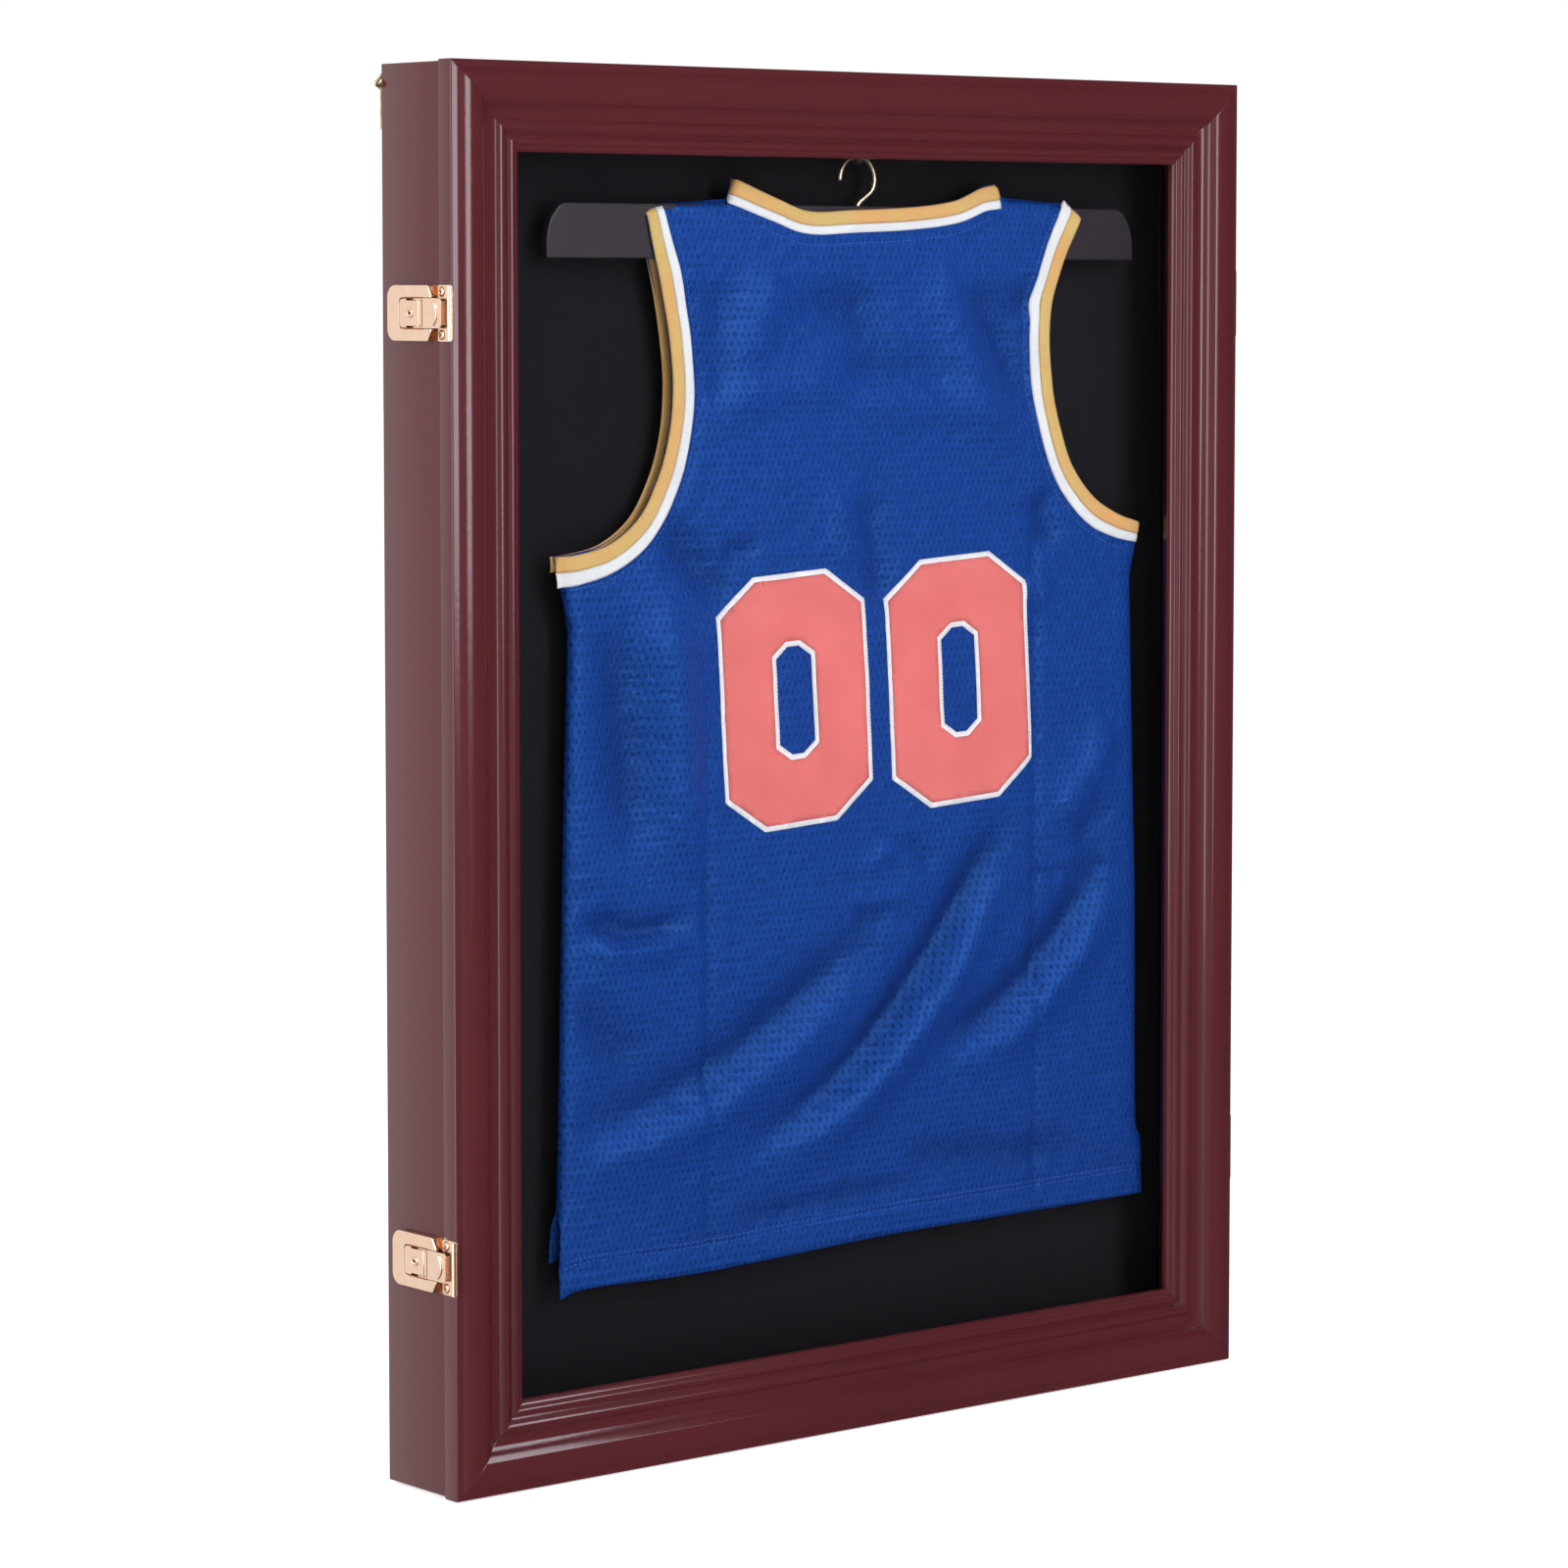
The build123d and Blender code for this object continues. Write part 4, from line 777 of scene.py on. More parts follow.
# the crossed slot, in painted shade
for first, second in ((slot_long, slot_wide), (slot_wide, slot_long)):
    size = add_node(screw_tree, "ShaderNodeCombineXYZ", {"X": first, "Y": second, "Z": slot_deep})
    bar_of_cross = add_node(screw_tree, "GeometryNodeMeshCube", {"Size": size.outputs[0]})
    lifted = add_node(screw_tree, "GeometryNodeTransform", {"Geometry": bar_of_cross.outputs[0],
                                                            "Translation": slot_lift.outputs[0]})
    parts.append(add_node(screw_tree, "GeometryNodeSetMaterial",
                          {"Geometry": lifted.outputs[0], "Material": given["Recess"]}).outputs[0])
# the countersink: a flat dark ring of painted shade around the head
sink = add_node(screw_tree, "GeometryNodeMeshCylinder",
                {"Vertices": 24, "Radius": maths(screw_tree, "MULTIPLY", radius, sink_width),
                 "Depth": maths(screw_tree, "MULTIPLY", head, sink_depth)})
parts.append(add_node(screw_tree, "GeometryNodeSetMaterial",
                      {"Geometry": sink.outputs["Mesh"], "Material": given["Recess"]}).outputs[0])
joined = add_node(screw_tree, "GeometryNodeJoinGeometry")
for part in parts:
    screw_tree.links.new(part, joined.inputs[0])
print("a screw's head is", len(parts), "shapes")

# %% Copies of the head
spin = add_node(screw_tree, "FunctionNodeRandomValue", {"Min": 0.0, "Max": 3.14, "Seed": given["Seed"]},
                data_type="FLOAT")
spun = [o for o in spin.outputs if o.enabled][0]
facing = add_node(screw_tree, "FunctionNodeAlignRotationToVector", {"Vector": given["Facing"]}, axis="Z")
turn = add_node(screw_tree, "FunctionNodeAxisAngleToRotation", {"Axis": (0, 0, 1), "Angle": spun})
turned = add_node(screw_tree, "FunctionNodeRotateRotation", {0: facing.outputs[0], 1: turn.outputs[0]},
                  rotation_space="LOCAL")
to_points = add_node(screw_tree, "GeometryNodeMeshToPoints", {"Mesh": given["Geometry"]})
copies = add_node(screw_tree, "GeometryNodeInstanceOnPoints",
                  {"Points": to_points.outputs[0], "Instance": joined.outputs[0],
                   "Rotation": turned.outputs[0]})
real = add_node(screw_tree, "GeometryNodeRealizeInstances", {"Geometry": copies.outputs[0]})
screw_tree.links.new(real.outputs[0], screw_tree.nodes.new("NodeGroupOutput").inputs[0])
print("the screw tree has", len(screw_tree.nodes), "nodes")


# %% Find the screws and grow the tree
def islands(name):
    """The low and high corners of each separate piece of a CAD node."""
    shape = bmesh.new()
    shape.from_mesh(nodes[name].data)
    bmesh.ops.remove_doubles(shape, verts=shape.verts, dist=2e-6)
    seen, found = set(), []
    for start in shape.verts:
        if start in seen:
            continue
        seen.add(start)
        pile, group = [start], []
        while pile:
            vertex = pile.pop()
            group.append(np.array(vertex.co))
            for link in vertex.link_edges:
                other = link.other_vert(vertex)
                if other not in seen:
                    seen.add(other)
                    pile.append(other)
        found.append((np.min(group, 0), np.max(group, 0)))
    shape.free()
    return found


def grow_tree(tree, source, name, body, slot, stands_for=(), **values):
    """Run a node tree on a mesh, keep its result as a plain piece and drop what carried it."""
    carrier = bpy.data.objects.new(f"{name}_source", source)
    bpy.context.scene.collection.objects.link(carrier)
    modifier = carrier.modifiers.new("tree", "NODES")
    modifier.node_group = tree
    for item in tree.interface.items_tree:
        key = item.name.replace(" ", "_")
        if item.in_out == "INPUT" and key in values:
            modifier[item.identifier] = values[key]
    view = bpy.context.evaluated_depsgraph_get()
    mesh = bpy.data.meshes.new_from_object(carrier.evaluated_get(view), depsgraph=view)
    mesh.name = name
    bpy.data.objects.remove(carrier)
    mesh.shade_smooth()
    mesh.set_sharp_from_angle(angle=radians(50))
    return new_piece(name, mesh, None, body, stands_for)


# group of screws: (which way the heads face, height of a head in millimetres, painted shade of the recess)
screw_groups = {
    "keeper_screws": ((-1, 0, 0), 0.9, slot_bronze), "latch_base_screws": ((-1, 0, 0), 0.6, slot_bronze),
    "hinge_case_screws": ((1, 0, 0), 0.8, key_dark), "hinge_door_screws": ((1, 0, 0), 0.8, key_dark),
    "strap_screws": ((0, 1, 0), 1.2, key_dark), "back_panel_screws": ((0, 1, 0), 0.8, key_dark),
}
for number, (group, (way, head_height, recess)) in enumerate(screw_groups.items()):
    way = np.array(way, float)
    places, head_radius = [], 0.0
    for low, high in islands(group):
        tip = np.where(way > 0, high, low) * np.abs(way)
        places.append(tip + (low + high) / 2 * (1 - np.abs(way)) - way * head_height * mm)
        head_radius = max(head_radius, max((high - low) * (1 - np.abs(way))) / 2)
    source = bpy.data.meshes.new(f"{group}_places")
    source.from_pydata([tuple(p) for p in places], [], [])
    grow_tree(screw_tree, source, f"{group}_heads", body_of(group), slot_of[group], (group,),
              Head_Radius=float(head_radius), Head_Height=head_height * mm, Facing=tuple(way),
              Metal=finishes[slot_of[group]], Recess=recess, Seed=number)
print(len(screw_groups), "groups of screws")

# %% [markdown]
# The bar of the hanger is moulded. Its upper corners sweep down in a curve, and every edge is rounded.

# %% Hanger bar
bar_rounding = 1.1 * mm
bar_low, bar_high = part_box("hanger_bar")
bar_length, bar_height = (bar_high.x - bar_low.x) / mm, (bar_high.z - bar_low.z) / mm
sweep = [(0, 0), (0, 8), (0.7, 15), (3.4, 23), (8.5, bar_height - 2), (13, bar_height)]
edge_line = [*sweep, *((bar_length - x, z) for x, z in reversed(sweep))]
bar_shape = bmesh.new()
ring = [bar_shape.verts.new((bar_low.x + x * mm, bar_low.y, bar_low.z + z * mm)) for x, z in edge_line]
face = bar_shape.faces.new(ring)
grown = bmesh.ops.extrude_face_region(bar_shape, geom=[face])["geom"]
moved = [v for v in grown if isinstance(v, bmesh.types.BMVert)]
bmesh.ops.translate(bar_shape, verts=moved, vec=(0, bar_high.y - bar_low.y, 0))
bmesh.ops.recalc_face_normals(bar_shape, faces=bar_shape.faces)
bar_mesh = mesh_of("hanger_bar_moulded", bar_shape)
bar_mesh.shade_smooth()
bar = new_piece("hanger_bar_moulded", bar_mesh, finishes["smoked_plastic"], "hanger",
                ("hanger_bar",))
round_edges(bar, bar_rounding, 4, 20.0)
print("the bar is", round(bar_length), "mm long and", round(bar_height, 1), "mm deep")

# %% [markdown]
# ## The jersey's cut
# The jersey hangs with its back to the door. Its outline is drawn in millimetres, across from
# the jersey's middle and up from the top of the hanger's bar. A smooth curve runs through the points of
# each armhole and of the neck.


# %% Lines
def smooth_line(points, spacing=3.0):
    """A Catmull-Rom curve through the points, with new points about the given spacing apart."""
    p = [np.array(q, float) for q in points]
    p = [2 * p[0] - p[1], *p, 2 * p[-1] - p[-2]]
    line = []
    for a, b, c, d in zip(p, p[1:], p[2:], p[3:]):
        count = max(1, ceil(np.linalg.norm(c - b) / spacing))
        for k in range(count):
            t = k / count
            line.append(0.5 * (2 * b + (c - a) * t + (2 * a - 5 * b + 4 * c - d) * t**2
                               + (3 * b - a - 3 * c + d) * t**3))
    return np.array([*line, p[-2]])


def straight_line(points, spacing=3.0):
    """Straight runs through the points, with new points about the given spacing apart."""
    line = []
    for a, b in zip(points, points[1:]):
        count = max(1, ceil(np.linalg.norm(np.subtract(b, a)) / spacing))
        line += [np.add(a, np.subtract(b, a) * k / count) for k in range(count)]
    return np.array([*line, np.array(points[-1], float)])


def inward_steps(line):
    """A unit step in from the cloth's edge, at each point of the line."""
    step = np.gradient(line, axis=0)
    inward = np.stack([-step[:, 1], step[:, 0]], 1)
    return inward / np.linalg.norm(inward, axis=1)[:, None]


def beside(line, gap):
    """The line moved in from the cloth's edge."""
    return line + inward_steps(line) * gap


print("lines can be smooth or straight")

# %% Outline of the cloth
jersey_low, jersey_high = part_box("jersey")
middle_x = (jersey_low.x + jersey_high.x) / 2
middle_y = (jersey_low.y + jersey_high.y) / 2
bar_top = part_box("hanger_ferrule")[0].z
left_armhole = smooth_line([(-163, 5), (-158, -17), (-150, -48), (-145, -78), (-144, -102), (-147, -126),
                            (-155, -149), (-169, -171), (-190, -185), (-212, -190), (-227, -191)])
right_armhole = smooth_line([(228, -185), (207, -179), (186, -168), (170, -151), (160, -131), (152, -104),
                             (149, -76), (151, -50), (160, -23), (176, 5)])
neck = smooth_line([(106, 23), (92, 20.5), (70, 12.5), (36, 8.5), (-8, 6.5), (-42, 5.5), (-66, 12.5),
                    (-98, 24)])
left_seam = straight_line([(-227, -191), (-221, -213), (-217, -234), (-220, -330), (-223, -440),
                           (-226, -568)])
right_seam = straight_line([(229, -566), (227, -545), (226, -413), (222, -290), (220, -218), (228, -185)])
left_vent = straight_line([(-226, -568), (-227, -616)])
hem = smooth_line([(-227, -616), (-205, -612), (-116, -613), (13, -608), (131, -607), (230, -606)])
right_vent = straight_line([(230, -606), (229, -566)])
left_shoulder = straight_line([(-98, 24), (-102, 12), (-151.5, 9), (-163, 5)])
right_shoulder = straight_line([(176, 5), (163, 12), (113, 15), (106, 23)])
outline = np.vstack([part[:-1] for part in (
    left_armhole, left_seam, left_vent, hem, right_vent, right_seam, right_armhole, right_shoulder, neck,
    left_shoulder)])
print("the back's outline has", len(outline), "points")

# %% [markdown]
# ## Folds
# Real folds run where the cloth is pulled: down from the shoulders, in from the armholes, and in long
# slanting waves across the belly. Each one here is a soft ridge or furrow along a listed line, given
# as its half-width and height in millimetres. The sum of them all, with a little slow noise, moves the
# cloth towards the front or away. Creases are narrower: they are seams that pull, and old ironed folds.

# %% Fold lines
folds = [
    (11, -4.2, [(-228, -518), (-174, -517), (-121, -501), (-63, -470), (-7, -432), (20, -408)]),
    (13, 4.2, [(-224, -548), (-165, -530), (-92, -503), (-33, -469), (10, -436)]),
    (9, -4.6, [(-112, -542), (-68, -535), (-17, -509), (23, -474), (60, -434), (91, -393), (126, -345)]),
    (12, 4.2, [(-92, -558), (-28, -533), (23, -501), (60, -465), (91, -424), (118, -384)]),
    (9, -3.4, [(39, -495), (81, -487), (113, -474), (145, -449), (177, -415), (200, -376)]),
    (10, 2.8, [(60, -512), (110, -499), (150, -472), (185, -437), (210, -400)]),
    (10, 2.6, [(150, -375), (183, -338), (205, -300)]),
    (10, -1.8, [(168, -385), (200, -350)]),
    (5, -2.6, [(-218, -405), (-190, -403), (-174, -409), (-124, -405)]),
    (6, 2.0, [(-218, -415), (-174, -420), (-124, -416)]),
    (13, 3.4, [(-158, -200), (-146, -243), (-138, -311), (-134, -388)]),
    (12, -2.4, [(-185, -215), (-178, -290), (-170, -380)]),
    (4, 1.1, [(-23, -402), (18, -403), (54, -401)]),
    (4, 1.0, [(-2, -386), (29, -372)]),
    (4, -1.2, [(31, -365), (60, -390)]),
    (5, -1.0, [(-10, -412), (22, -420)]),
    (8, 1.5, [(-128, -122), (-100, -106), (-70, -100), (-34, -96), (10, -96)]),
    (9, -1.2, [(-126, -104), (-95, -90), (-60, -82)]),
    (8, -1.3, [(-46, -88), (-10, -88), (45, -92), (90, -104)]),
    (9, 1.5, [(-34, -106), (20, -106), (75, -110), (120, -122)]),
    (12, 2.3, [(56, -12), (74, -60), (94, -100), (128, -150)]),
    (11, -2.2, [(78, -6), (102, -62), (132, -125)]),
    (9, -2.4, [(118, -20), (135, -60)]),
    (24, -2.2, [(-70, -36), (-20, -46), (25, -42)]),
    (13, 1.8, [(-62, -18), (-82, -62), (-96, -112)]),
    (14, 1.4, [(-74, -24), (-40, -62), (-4, -98)]),
    (12, -1.5, [(-122, -18), (-106, -55), (-114, -100)]),
    (10, -2.2, [(-150, -166), (-126, -200), (-96, -226)]),
    (10, -1.8, [(-218, -436), (-196, -462), (-166, -492)]),
    (10, 1.5, [(-206, -420), (-160, -468)]),
    (5, -1.8, [(-110, -193), (-77, -190)]),
    (8, -1.4, [(-2, -150), (8, -192), (14, -236)]),
    (9, 1.3, [(-20, -150), (-10, -210)]),
    (5, -1.6, [(-112, -588), (-60, -584), (-17, -581), (60, -578)]),
    (7, -1.6, [(20, -560), (90, -566), (190, -572)]),
    (6, 1.6, [(130, -215), (150, -232)]),
    (8, -2.0, [(140, -160), (152, -200)]),
]
seam_in = 19.5                  # the stitched line beside the tapes, in from the cloth's edge
creases = [
    (2.6, -1.2, [(-119, -300), (-118, -450), (-117, -598)]),
    (2.6, -1.1, [(137, -195), (138, -300), (140, -590)]),
    (2.4, -0.8, [(139, -398), (222, -396)]),
    (1.5, -0.7, [(-226, -600), (-116, -596), (13, -591), (131, -590), (229, -589)]),
    *((1.9, -0.75, beside(line, seam_in)[3:-3]) for line in (neck, left_armhole, right_armhole)),
]
print(len(folds), "folds and", len(creases), "creases")


# %% The fold field
def distance_to(points, line):
    """Distance of every point to a line of short runs, and how far along it the nearest place is."""
    best = np.full(len(points), 1e9)
    share = np.zeros(len(points))
    runs = [np.linalg.norm(np.subtract(b, a)) for a, b in zip(line, line[1:])]
    done = 0.0
    for a, b, length in zip(line, line[1:], runs):
        a, way = np.array(a, float), np.subtract(b, a)
        t = np.clip((points - a) @ way / length**2, 0, 1)
        gap = np.linalg.norm(points - a - t[:, None] * way, axis=1)
        nearer = gap < best
        best[nearer] = gap[nearer]
        share[nearer] = ((done + t * length) / sum(runs))[nearer]
        done += length
    return best, share


def ease(value):
    value = np.clip(value, 0, 1)
    return value * value * (3 - 2 * value)


def waves(points, seed, size, count=7):
    """Slow even noise: a few sine waves with seeded directions."""
    random = np.random.default_rng(seed)
    total = np.zeros(len(points))
    for _ in range(count):
        way = random.normal(size=2)
        way *= 2 * pi / (size * random.uniform(0.7, 1.6) * np.linalg.norm(way))
        total += np.sin(points @ way + random.uniform(0, 2 * pi))
    return total / count


fold_strength, crease_strength = 1.9, 1.5
swells = [(0.9, 3, 90.0), (0.35, 5, 28.0)]      # height in millimetres, seed, size in millimetres
fold_spacing = 8.0
taper_rate, taper_start = 3.0, 0.06             # a fold fades towards both of its ends
least_on_bar = 0.4              # the bar holds the cloth at least this far out, in millimetres,
bar_foot, bar_fade = 52, 26     # above a line this far down, fading in over this height


def fold_height(points):
    """How far the cloth stands out towards the door, in millimetres."""
    total = sum(height * waves(points, seed, size) for height, seed, size in swells)
    for width, height, line in folds:
        gap, share = distance_to(points, smooth_line(line, fold_spacing))
        taper = ease(np.minimum(share, 1 - share) * taper_rate + taper_start)
        total += fold_strength * height * np.exp(-0.5 * (gap / width) ** 2) * taper
    for width, height, line in creases:
        gap, _ = distance_to(points, line)
        total += crease_strength * height * np.exp(-0.5 * (gap / width) ** 2)
    over_bar = ease((points[:, 1] + bar_foot) / bar_fade)
    return np.where(total < least_on_bar, total + (least_on_bar - total) * over_bar, total)


heights = fold_height(outline)
print("folds at the cloth's edge run from", round(heights.min(), 1), "to", round(heights.max(), 1), "mm")

# %% Where the two layers hang
half_gap, least_gap = 4.0 * mm, 1.2 * mm      # from the middle plane, and between the two layers
side_round, top_round = 13, 4                 # how far in the layers part, at the seams and shoulders
side_calm, top_calm = 26, 10                  # how far in the folds reach their full height


def cloth_depth(points, near_layer=True):
    """Y of the cloth in metres. The two layers close up at the side seams and over the shoulders."""
    side = np.minimum(distance_to(points, left_seam)[0], distance_to(points, right_seam)[0])
    top = np.minimum(distance_to(points, left_shoulder)[0], distance_to(points, right_shoulder)[0])
    reach = np.minimum(np.clip(side / side_round, 0, 1), np.clip(top / top_round, 0, 1))
    round_over = np.sqrt(1 - (1 - reach) ** 2)
    stand = fold_height(points) * mm * ease(side / side_calm) * ease(top / top_calm)
    near = middle_y - half_gap * round_over - stand
    if near_layer:
        return near
    return np.maximum(middle_y + half_gap * round_over, near + least_gap * round_over)


def to_frame(points, depth):
    """Millimetres on the jersey's plane, and a depth in metres, as points of the shared frame."""
    return np.stack([middle_x + points[:, 0] * mm, depth, bar_top + points[:, 1] * mm], 1)


print("the layers hang", 2 * half_gap / mm, "mm apart")

# %% [markdown]
# ## The body of the jersey
# A sheet of even triangles takes folds best. The outline is filled with a lattice of points, joined by
# a Delaunay triangulation, moved by the fold field, and given its thickness by Solidify. The far layer
# is the jersey's front, seen only past the armholes and at the slit of the left side seam.


# %% Fill an outline
def inside(points, loop):
    """Which points lie inside a closed loop."""
    hit = np.zeros(len(points), bool)
    x, y = points[:, 0], points[:, 1]
    for (ax, ay), (bx, by) in zip(loop, np.roll(loop, -1, 0)):
        if ay == by:
            continue
        crosses = ((ay > y) != (by > y)) & (x < (bx - ax) * (y - ay) / (by - ay) + ax)
        hit ^= crosses
    return hit


row_share, edge_share = 0.866, 0.55      # from row to row, and from edge to lattice, of the spacing


def filled(loops, spacing):
    """Triangles that fill the first loop and leave out the others, on a lattice of points."""
    outer = loops[0]
    low, high = outer.min(0), outer.max(0)
    rows = np.arange(low[1], high[1], spacing * row_share)
    lattice = np.array([(x + (i % 2) * spacing / 2, z) for i, z in enumerate(rows)
                        for x in np.arange(low[0], high[0], spacing)])
    keep = inside(lattice, outer)
    for hole_loop in loops[1:]:
        keep &= ~inside(lattice, hole_loop)
    lattice = lattice[keep]
    for loop in loops:
        closed = np.vstack([loop, loop[:1]])
        lattice = lattice[distance_to(lattice, closed)[0] > spacing * edge_share]
    points, edges = [], []
    for loop in loops:
        start = len(points)
        points += [Vector(p) for p in loop]
        edges += [(start + i, start + (i + 1) % len(loop)) for i in range(len(loop))]
    points += [Vector(p) for p in lattice]
    made, _, faces, _, _, _ = delaunay_2d_cdt(points, edges, [], 0, 1e-4)
    made = np.array([tuple(p) for p in made])
    centres = np.array([made[list(f)].mean(0) for f in faces])
    keep = inside(centres, outer)
    for hole_loop in loops[1:]:
        keep &= ~inside(centres, hole_loop)
    return made, [f for f, k in zip(faces, keep) if k]


def facing_front(points, faces):
    """Turn every face towards the door, along -Y."""
    turned = []
    for f in faces:
        a, b, c = (points[i] for i in f[:3])
        flip = np.cross(b - a, c - a)[1] > 0
        turned.append(tuple(reversed(f)) if flip else tuple(f))
    return turned


print("outlines can be filled")

# %% The two layers
cloth_grid, far_grid = 3.6, 6.5               # the side of a triangle, in millimetres
cloth_thickness = 0.7 * mm
full_fold_shade_depth = 7.0                          # millimetres deep, where the painted fold shade is darkest


def thickened(piece, thickness):
    """Give a sheet its thickness, behind its face."""
    solid = piece.modifiers.new("thickness", "SOLIDIFY")
    solid.thickness = thickness
    solid.offset = -1.0
    return piece


def cloth_piece(name, loops, spacing, depth, thickness, material, near_layer=True, stands_for=()):
    """A sheet cut to the loops and laid at the given depth, and its flat area in square metres."""
    flat, faces = filled(loops, spacing)
    points = to_frame(flat, depth(flat))
    faces = facing_front(points, faces)
    if not near_layer:
        faces = [tuple(reversed(f)) for f in faces]
    mesh = mesh_from(name, points, faces, 180.0)
    # painted shade: how deep each point lies in a fold, which darkens the colour there
    fold_shade_layer = mesh.attributes.new("fold_shade", "FLOAT", "POINT")
    fold_shade_layer.data.foreach_set("value",
                          np.clip(-fold_height(flat) / full_fold_shade_depth, 0, 1).astype(np.float32))
    piece = new_piece(name, mesh, material, "hanger", stands_for)
    area = sum(0.5 * abs(np.cross(flat[f[1]] - flat[f[0]], flat[f[2]] - flat[f[0]])) for f in faces)
    return thickened(piece, thickness), area * mm * mm


def below_shoulder(line):
    """From 0 at the shoulders to 1 once the line is 70 mm down."""
    return ease((-line[:, 1] - 10) / 60)


back_sheet, back_area = cloth_piece("jersey_back", [outline], cloth_grid, cloth_depth, cloth_thickness,
                                    finishes["jersey_mesh"], stands_for=("jersey",))
# the far layer is cut in a little on the left, juts out at the left vent, hangs shorter and has a
# lower neck
far_in, far_tape_out = 1.2, 1.0
vent_top, vent_length, vent_out, vent_up = 540, 76, 3.0, 20
scoop_half, scoop_wide, scoop_drop = 100, 108, 55
far_outline = outline.copy()
low_part = ease((-outline[:, 1] - vent_top) / vent_length)
on_left = outline[:, 0] < 0
far_outline[:, 0] += (far_in * below_shoulder(outline) - vent_out * low_part) * on_left
far_outline[:, 1] += vent_up * low_part
scoop = (np.abs(outline[:, 0]) < scoop_half) & (outline[:, 1] > 0)
far_outline[scoop, 1] -= scoop_drop * np.cos(outline[scoop, 0] / scoop_wide * pi / 2) ** 0.5
front_sheet, front_area = cloth_piece("jersey_front", [far_outline], far_grid,
                                      lambda p: cloth_depth(p, False), cloth_thickness,
                                      finishes["jersey_mesh"], near_layer=False)
for sheet, area in ((back_sheet, back_area), (front_sheet, front_area)):
    print(sheet.name, len(sheet.data.polygons), "triangles,", round(area, 3), "square metres")

# %% [markdown]
# ## Bound edges
# Each armhole and the neck are bound with two tapes, gold outside and white inside. A tape is a narrow
# strip that follows the edge, a little puffed across its width. Its UV map runs along it, for the ribs.


# %% Tapes
tape_puff, tape_thickness = 0.55 * mm, 0.5 * mm


def tape_strip(name, line, start, stop, lift, material, near_layer=True, across=6):
    """A tape beside a line, from start to stop millimetres in from it. Both may change along it."""
    inward = inward_steps(line)
    run = np.concatenate([[0], np.cumsum(np.linalg.norm(np.diff(line, axis=0), axis=1))])
    share = run / run[-1]
    near, far = np.interp(share, *zip(*start)), np.interp(share, *zip(*stop))
    flat, uv, puff = [], [], []
    for k in range(across + 1):
        t = k / across
        flat.append(line + inward * (near + (far - near) * t)[:, None])
        uv.append(np.stack([run * mm, (near + (far - near) * t) * mm], 1))
        puff.append(np.full(len(line), (4 * t * (1 - t)) ** 0.5))
    flat, uv, puff = np.vstack(flat), np.vstack(uv), np.concatenate(puff)
    points = to_frame(flat, cloth_depth(flat, near_layer) - lift - tape_puff * puff)
    count = len(line)
    faces = [(k * count + i, k * count + i + 1, (k + 1) * count + i + 1, (k + 1) * count + i)
             for k in range(across) for i in range(count - 1)]
    faces = facing_front(points, faces)
    mesh = mesh_from(name, points, faces, 180.0)
    layer = mesh.uv_layers.new(name="UVMap")
    for loop in mesh.loops:
        layer.data[loop.index].uv = uv[loop.vertex_index]
    return thickened(new_piece(name, mesh, material, "hanger"), tape_thickness)


# how far in each tape reaches: (share of the way along the edge, millimetres)
gold_reach = [(0, 7.4), (0.15, 9.0), (0.85, 9.0), (1, 9.4)]
white_reach = [(0, 12.6), (0.15, 16.0), (0.85, 16.4), (1, 18.0)]
neck_gold = [(0, 9.5), (0.2, 8.2), (0.8, 8.2), (1, 9.5)]
neck_white = [(0, 15.0), (0.2, 13.4), (0.8, 13.4), (1, 15.0)]
edge = [(0, 0.0), (1, 0.0)]
far_reach = [(0, 9.0), (1, 9.0)]
gold_lift, white_lift = 0.35 * mm, 0.3 * mm
for name, line, gold, white in (("left_armhole", left_armhole, gold_reach, white_reach),
                                ("right_armhole", right_armhole, gold_reach, white_reach),
                                ("neck", neck, neck_gold, neck_white)):
    tape_strip(f"{name}_gold", line, edge, gold, gold_lift, gold_tape)
    tape_strip(f"{name}_white", line, gold, white, white_lift, white_tape)
far_edge = left_armhole - np.array([far_tape_out, 0]) * below_shoulder(left_armhole)[:, None]
far_tape = tape_strip("front_armhole_tape", far_edge, edge, far_reach, white_lift, orange_tape, False)

# %% [markdown]
# ## Number
# A generic number, two plain block noughts, is sewn to the back: coral twill on white twill. Both are
# cut from the same eight-sided shape, the white one a little larger, and lie on the folds like the rest.

# %% Block digits
digit_width, digit_height, digit_stroke = 107.0, 144.0, 37.0
digit_slant = radians(3.5)
white_margin = 3.0
outer_corner, inner_corner, corner_growth, corner_drop = 27, 11, 0.6, 0.72
digit_thickness = 0.4 * mm
digit_places = {"first": (-52.5, -281.0), "second": (76.0, -275.0)}


def block_loop(width, height, corner):
    """An eight-sided loop about the origin."""
    w, h, c, d = width / 2, height / 2, corner, corner * corner_drop
    loop = [(-w, h - d), (-w, d - h), (c - w, -h), (w - c, -h), (w, d - h), (w, h - d), (w - c, h),
            (c - w, h), (-w, h - d)]
    return straight_line(loop)[:-1]


def placed(loop, centre):
    """A loop slanted like the digits and moved to its centre."""
    turn = np.array([[cos(digit_slant), sin(digit_slant)], [-sin(digit_slant), cos(digit_slant)]])
    return loop @ turn + np.array(centre)


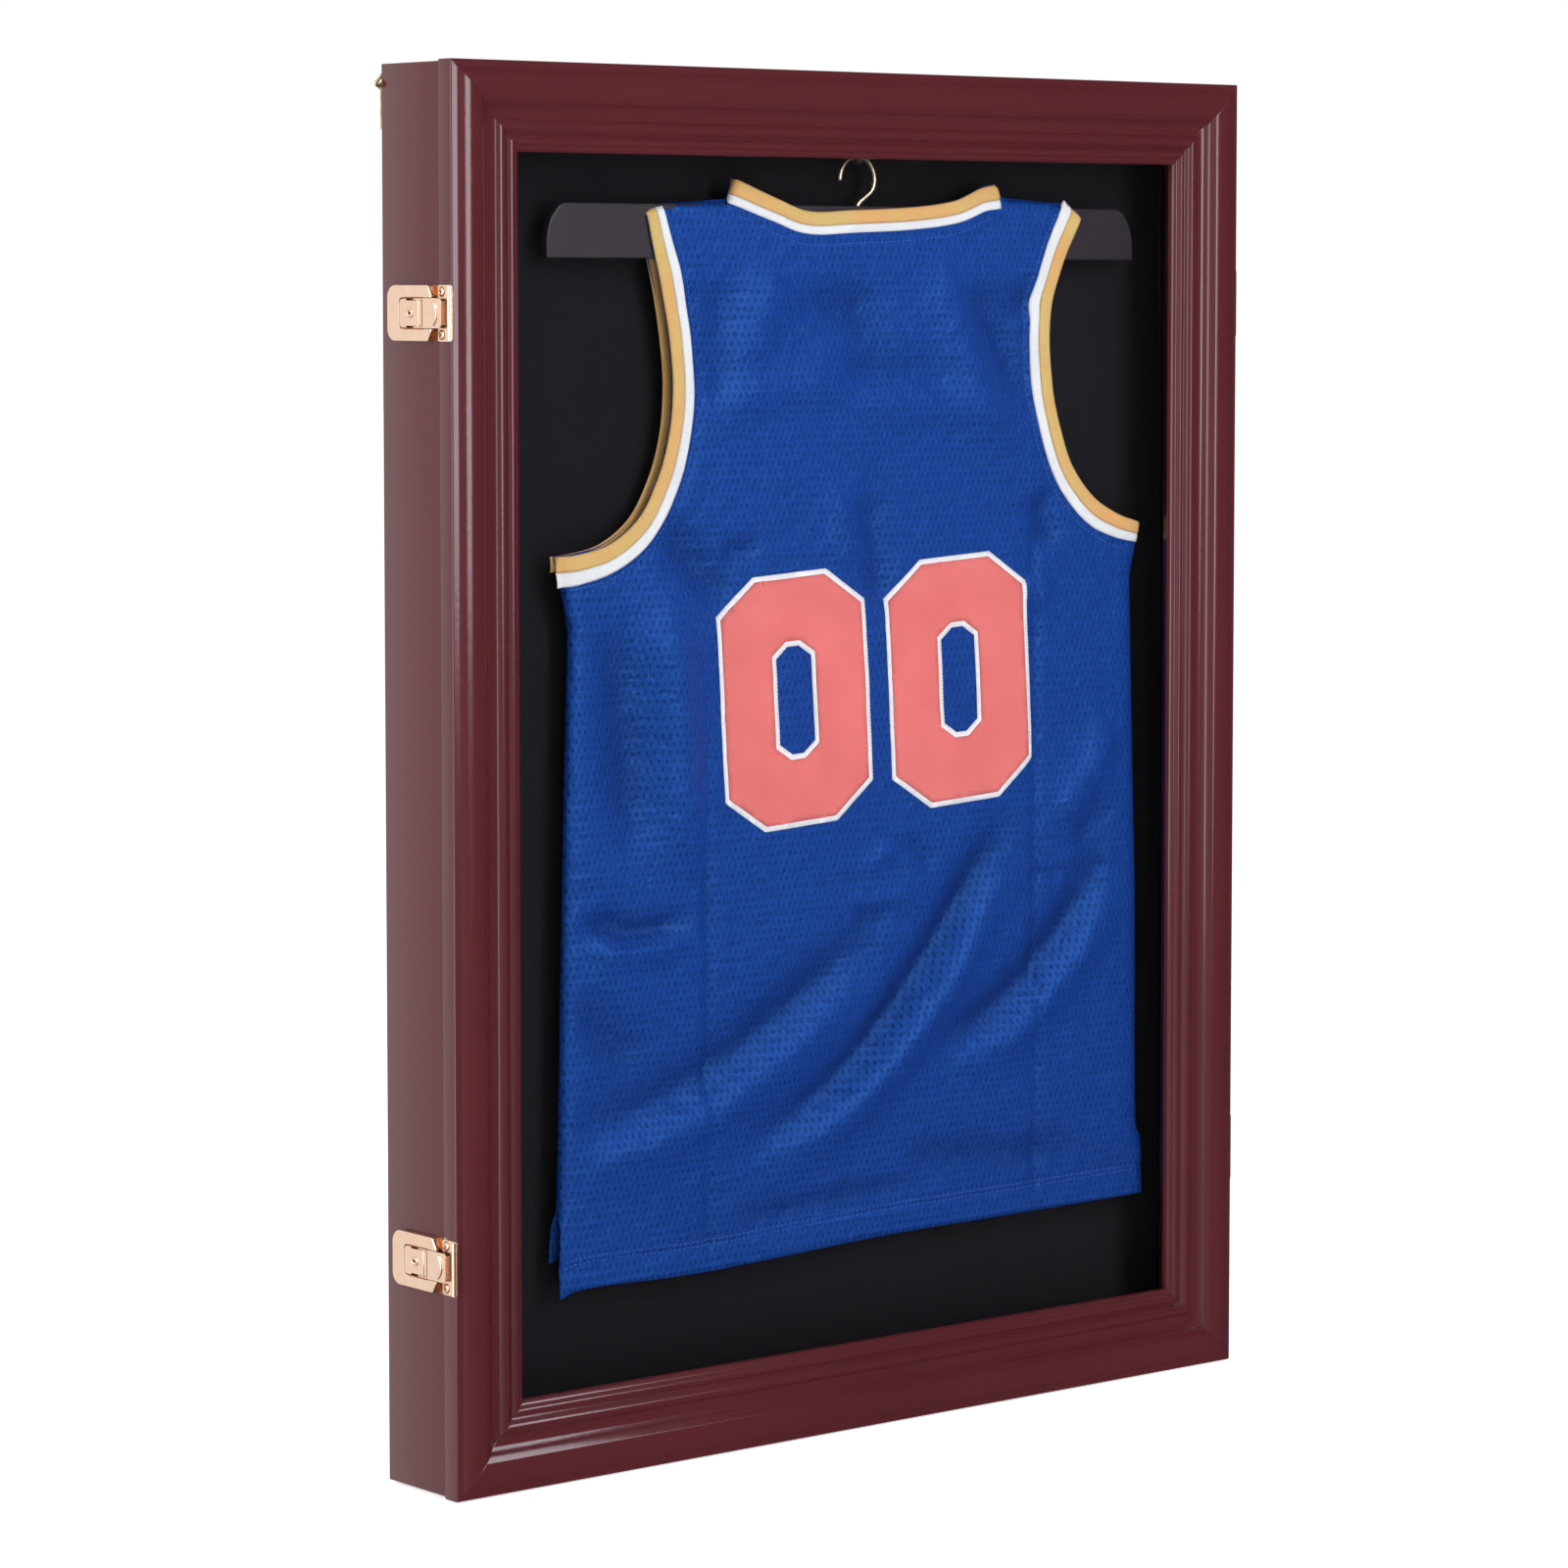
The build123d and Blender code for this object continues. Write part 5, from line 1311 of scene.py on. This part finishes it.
digit_rings, digits = {}, []
for name, centre in digit_places.items():
    for layer, grow, lift, material in (("white", white_margin, 0.5, white_twill),
                                        ("coral", 0.0, 0.95, coral_twill)):
        outer = placed(block_loop(digit_width + 2 * grow, digit_height + 2 * grow,
                                  outer_corner + corner_growth * grow), centre)
        inner = placed(block_loop(digit_width - 2 * digit_stroke - 2 * grow,
                                  digit_height - 2 * digit_stroke - 2 * grow,
                                  inner_corner - corner_growth * grow), centre)
        digit_rings[name, layer] = (outer, inner)
        piece, _ = cloth_piece(f"{name}_digit_{layer}", [outer, inner], cloth_grid,
                               lambda p, lift=lift: cloth_depth(p) - lift * mm, digit_thickness, material)
        digits.append(piece)
print("digits are", digit_width, "x", digit_height, "mm")

# %% [markdown]
# ## Stitches
# Stitches are the same small thing hundreds of times, which is what Geometry Nodes are for. The tree
# takes a line of edges, puts points along it at an even spacing, lays one short thread on each, and
# ends by making them real and giving them their material.

# %% Stitch tree
stitch_tree, given = start_geometry_tree("stitch_run", Spacing="Float", Stitch_Length="Float",
                                         Thread_Radius="Float", Thread="Material")
to_curve = add_node(stitch_tree, "GeometryNodeMeshToCurve", {"Mesh": given["Geometry"]})
along = add_node(stitch_tree, "GeometryNodeCurveToPoints", {"Curve": to_curve.outputs[0],
                                                            "Length": given["Spacing"]}, mode="LENGTH")
bead = add_node(stitch_tree, "GeometryNodeMeshUVSphere", {"Segments": 6, "Rings": 5, "Radius": 1.0})
half_length = maths(stitch_tree, "MULTIPLY", given["Stitch Length"], 0.5)
size = add_node(stitch_tree, "ShaderNodeCombineXYZ", {"X": given["Thread Radius"],
                                                      "Y": given["Thread Radius"], "Z": half_length})
copies = add_node(stitch_tree, "GeometryNodeInstanceOnPoints",
                  {"Points": along.outputs["Points"], "Instance": bead.outputs[0],
                   "Rotation": along.outputs["Rotation"], "Scale": size.outputs[0]})
real = add_node(stitch_tree, "GeometryNodeRealizeInstances", {"Geometry": copies.outputs[0]})
painted = add_node(stitch_tree, "GeometryNodeSetMaterial", {"Geometry": real.outputs[0],
                                                            "Material": given["Thread"]})
stitch_tree.links.new(painted.outputs[0], stitch_tree.nodes.new("NodeGroupOutput").inputs[0])
print("the stitch tree has", len(stitch_tree.nodes), "nodes")


# %% Sew
def path_mesh(name, lines, lift):
    """Edges along lines that lie just proud of the cloth."""
    points, edges = [], []
    for line in lines:
        start = len(points)
        points += [tuple(p) for p in to_frame(line, cloth_depth(line) - lift)]
        edges += [(start + i, start + i + 1) for i in range(len(line) - 1)]
    mesh = bpy.data.meshes.new(name)
    mesh.from_pydata(points, edges, [])
    return mesh


trim = slice(4, -4)            # the seams stop a few points short of the edges that they run into
hem_rise, hem_rows_apart = 15.5, 3.0
seam_lift, border_lift = 0.1 * mm, 0.55 * mm
seams = [beside(line, seam_in)[trim] for line in (neck, left_armhole, right_armhole)]
hem_line = hem[3:-3] + np.array([0, hem_rise])
seams += [hem_line, hem_line + np.array([0, hem_rows_apart])]
stitches = grow_tree(stitch_tree, path_mesh("seam_paths", seams, seam_lift), "seam_stitches", "hanger",
                     "jersey_mesh", Spacing=3.2 * mm, Stitch_Length=2.3 * mm, Thread_Radius=0.34 * mm,
                     Thread=blue_thread)
borders = [np.vstack([loop, loop[:1]]) for (_, layer), loops in digit_rings.items()
           if layer == "white" for loop in loops]
border_path = path_mesh("number_paths", borders, border_lift)
number_stitches = grow_tree(stitch_tree, border_path, "number_stitches", "hanger", "jersey_mesh",
                            Spacing=2.2 * mm, Stitch_Length=1.7 * mm, Thread_Radius=0.3 * mm,
                            Thread=white_thread)
print("stitch triangles:", len(stitches.data.polygons), len(number_stitches.data.polygons))

# %% [markdown]
# ## What the cloth is
# Both layers are one cut of knit, 458 mm wide and 642 mm long before the armholes and the neck are cut
# away. The tapes, numbers and stitches ride on the hanger's body, as the layers do.

print("the jersey is built")
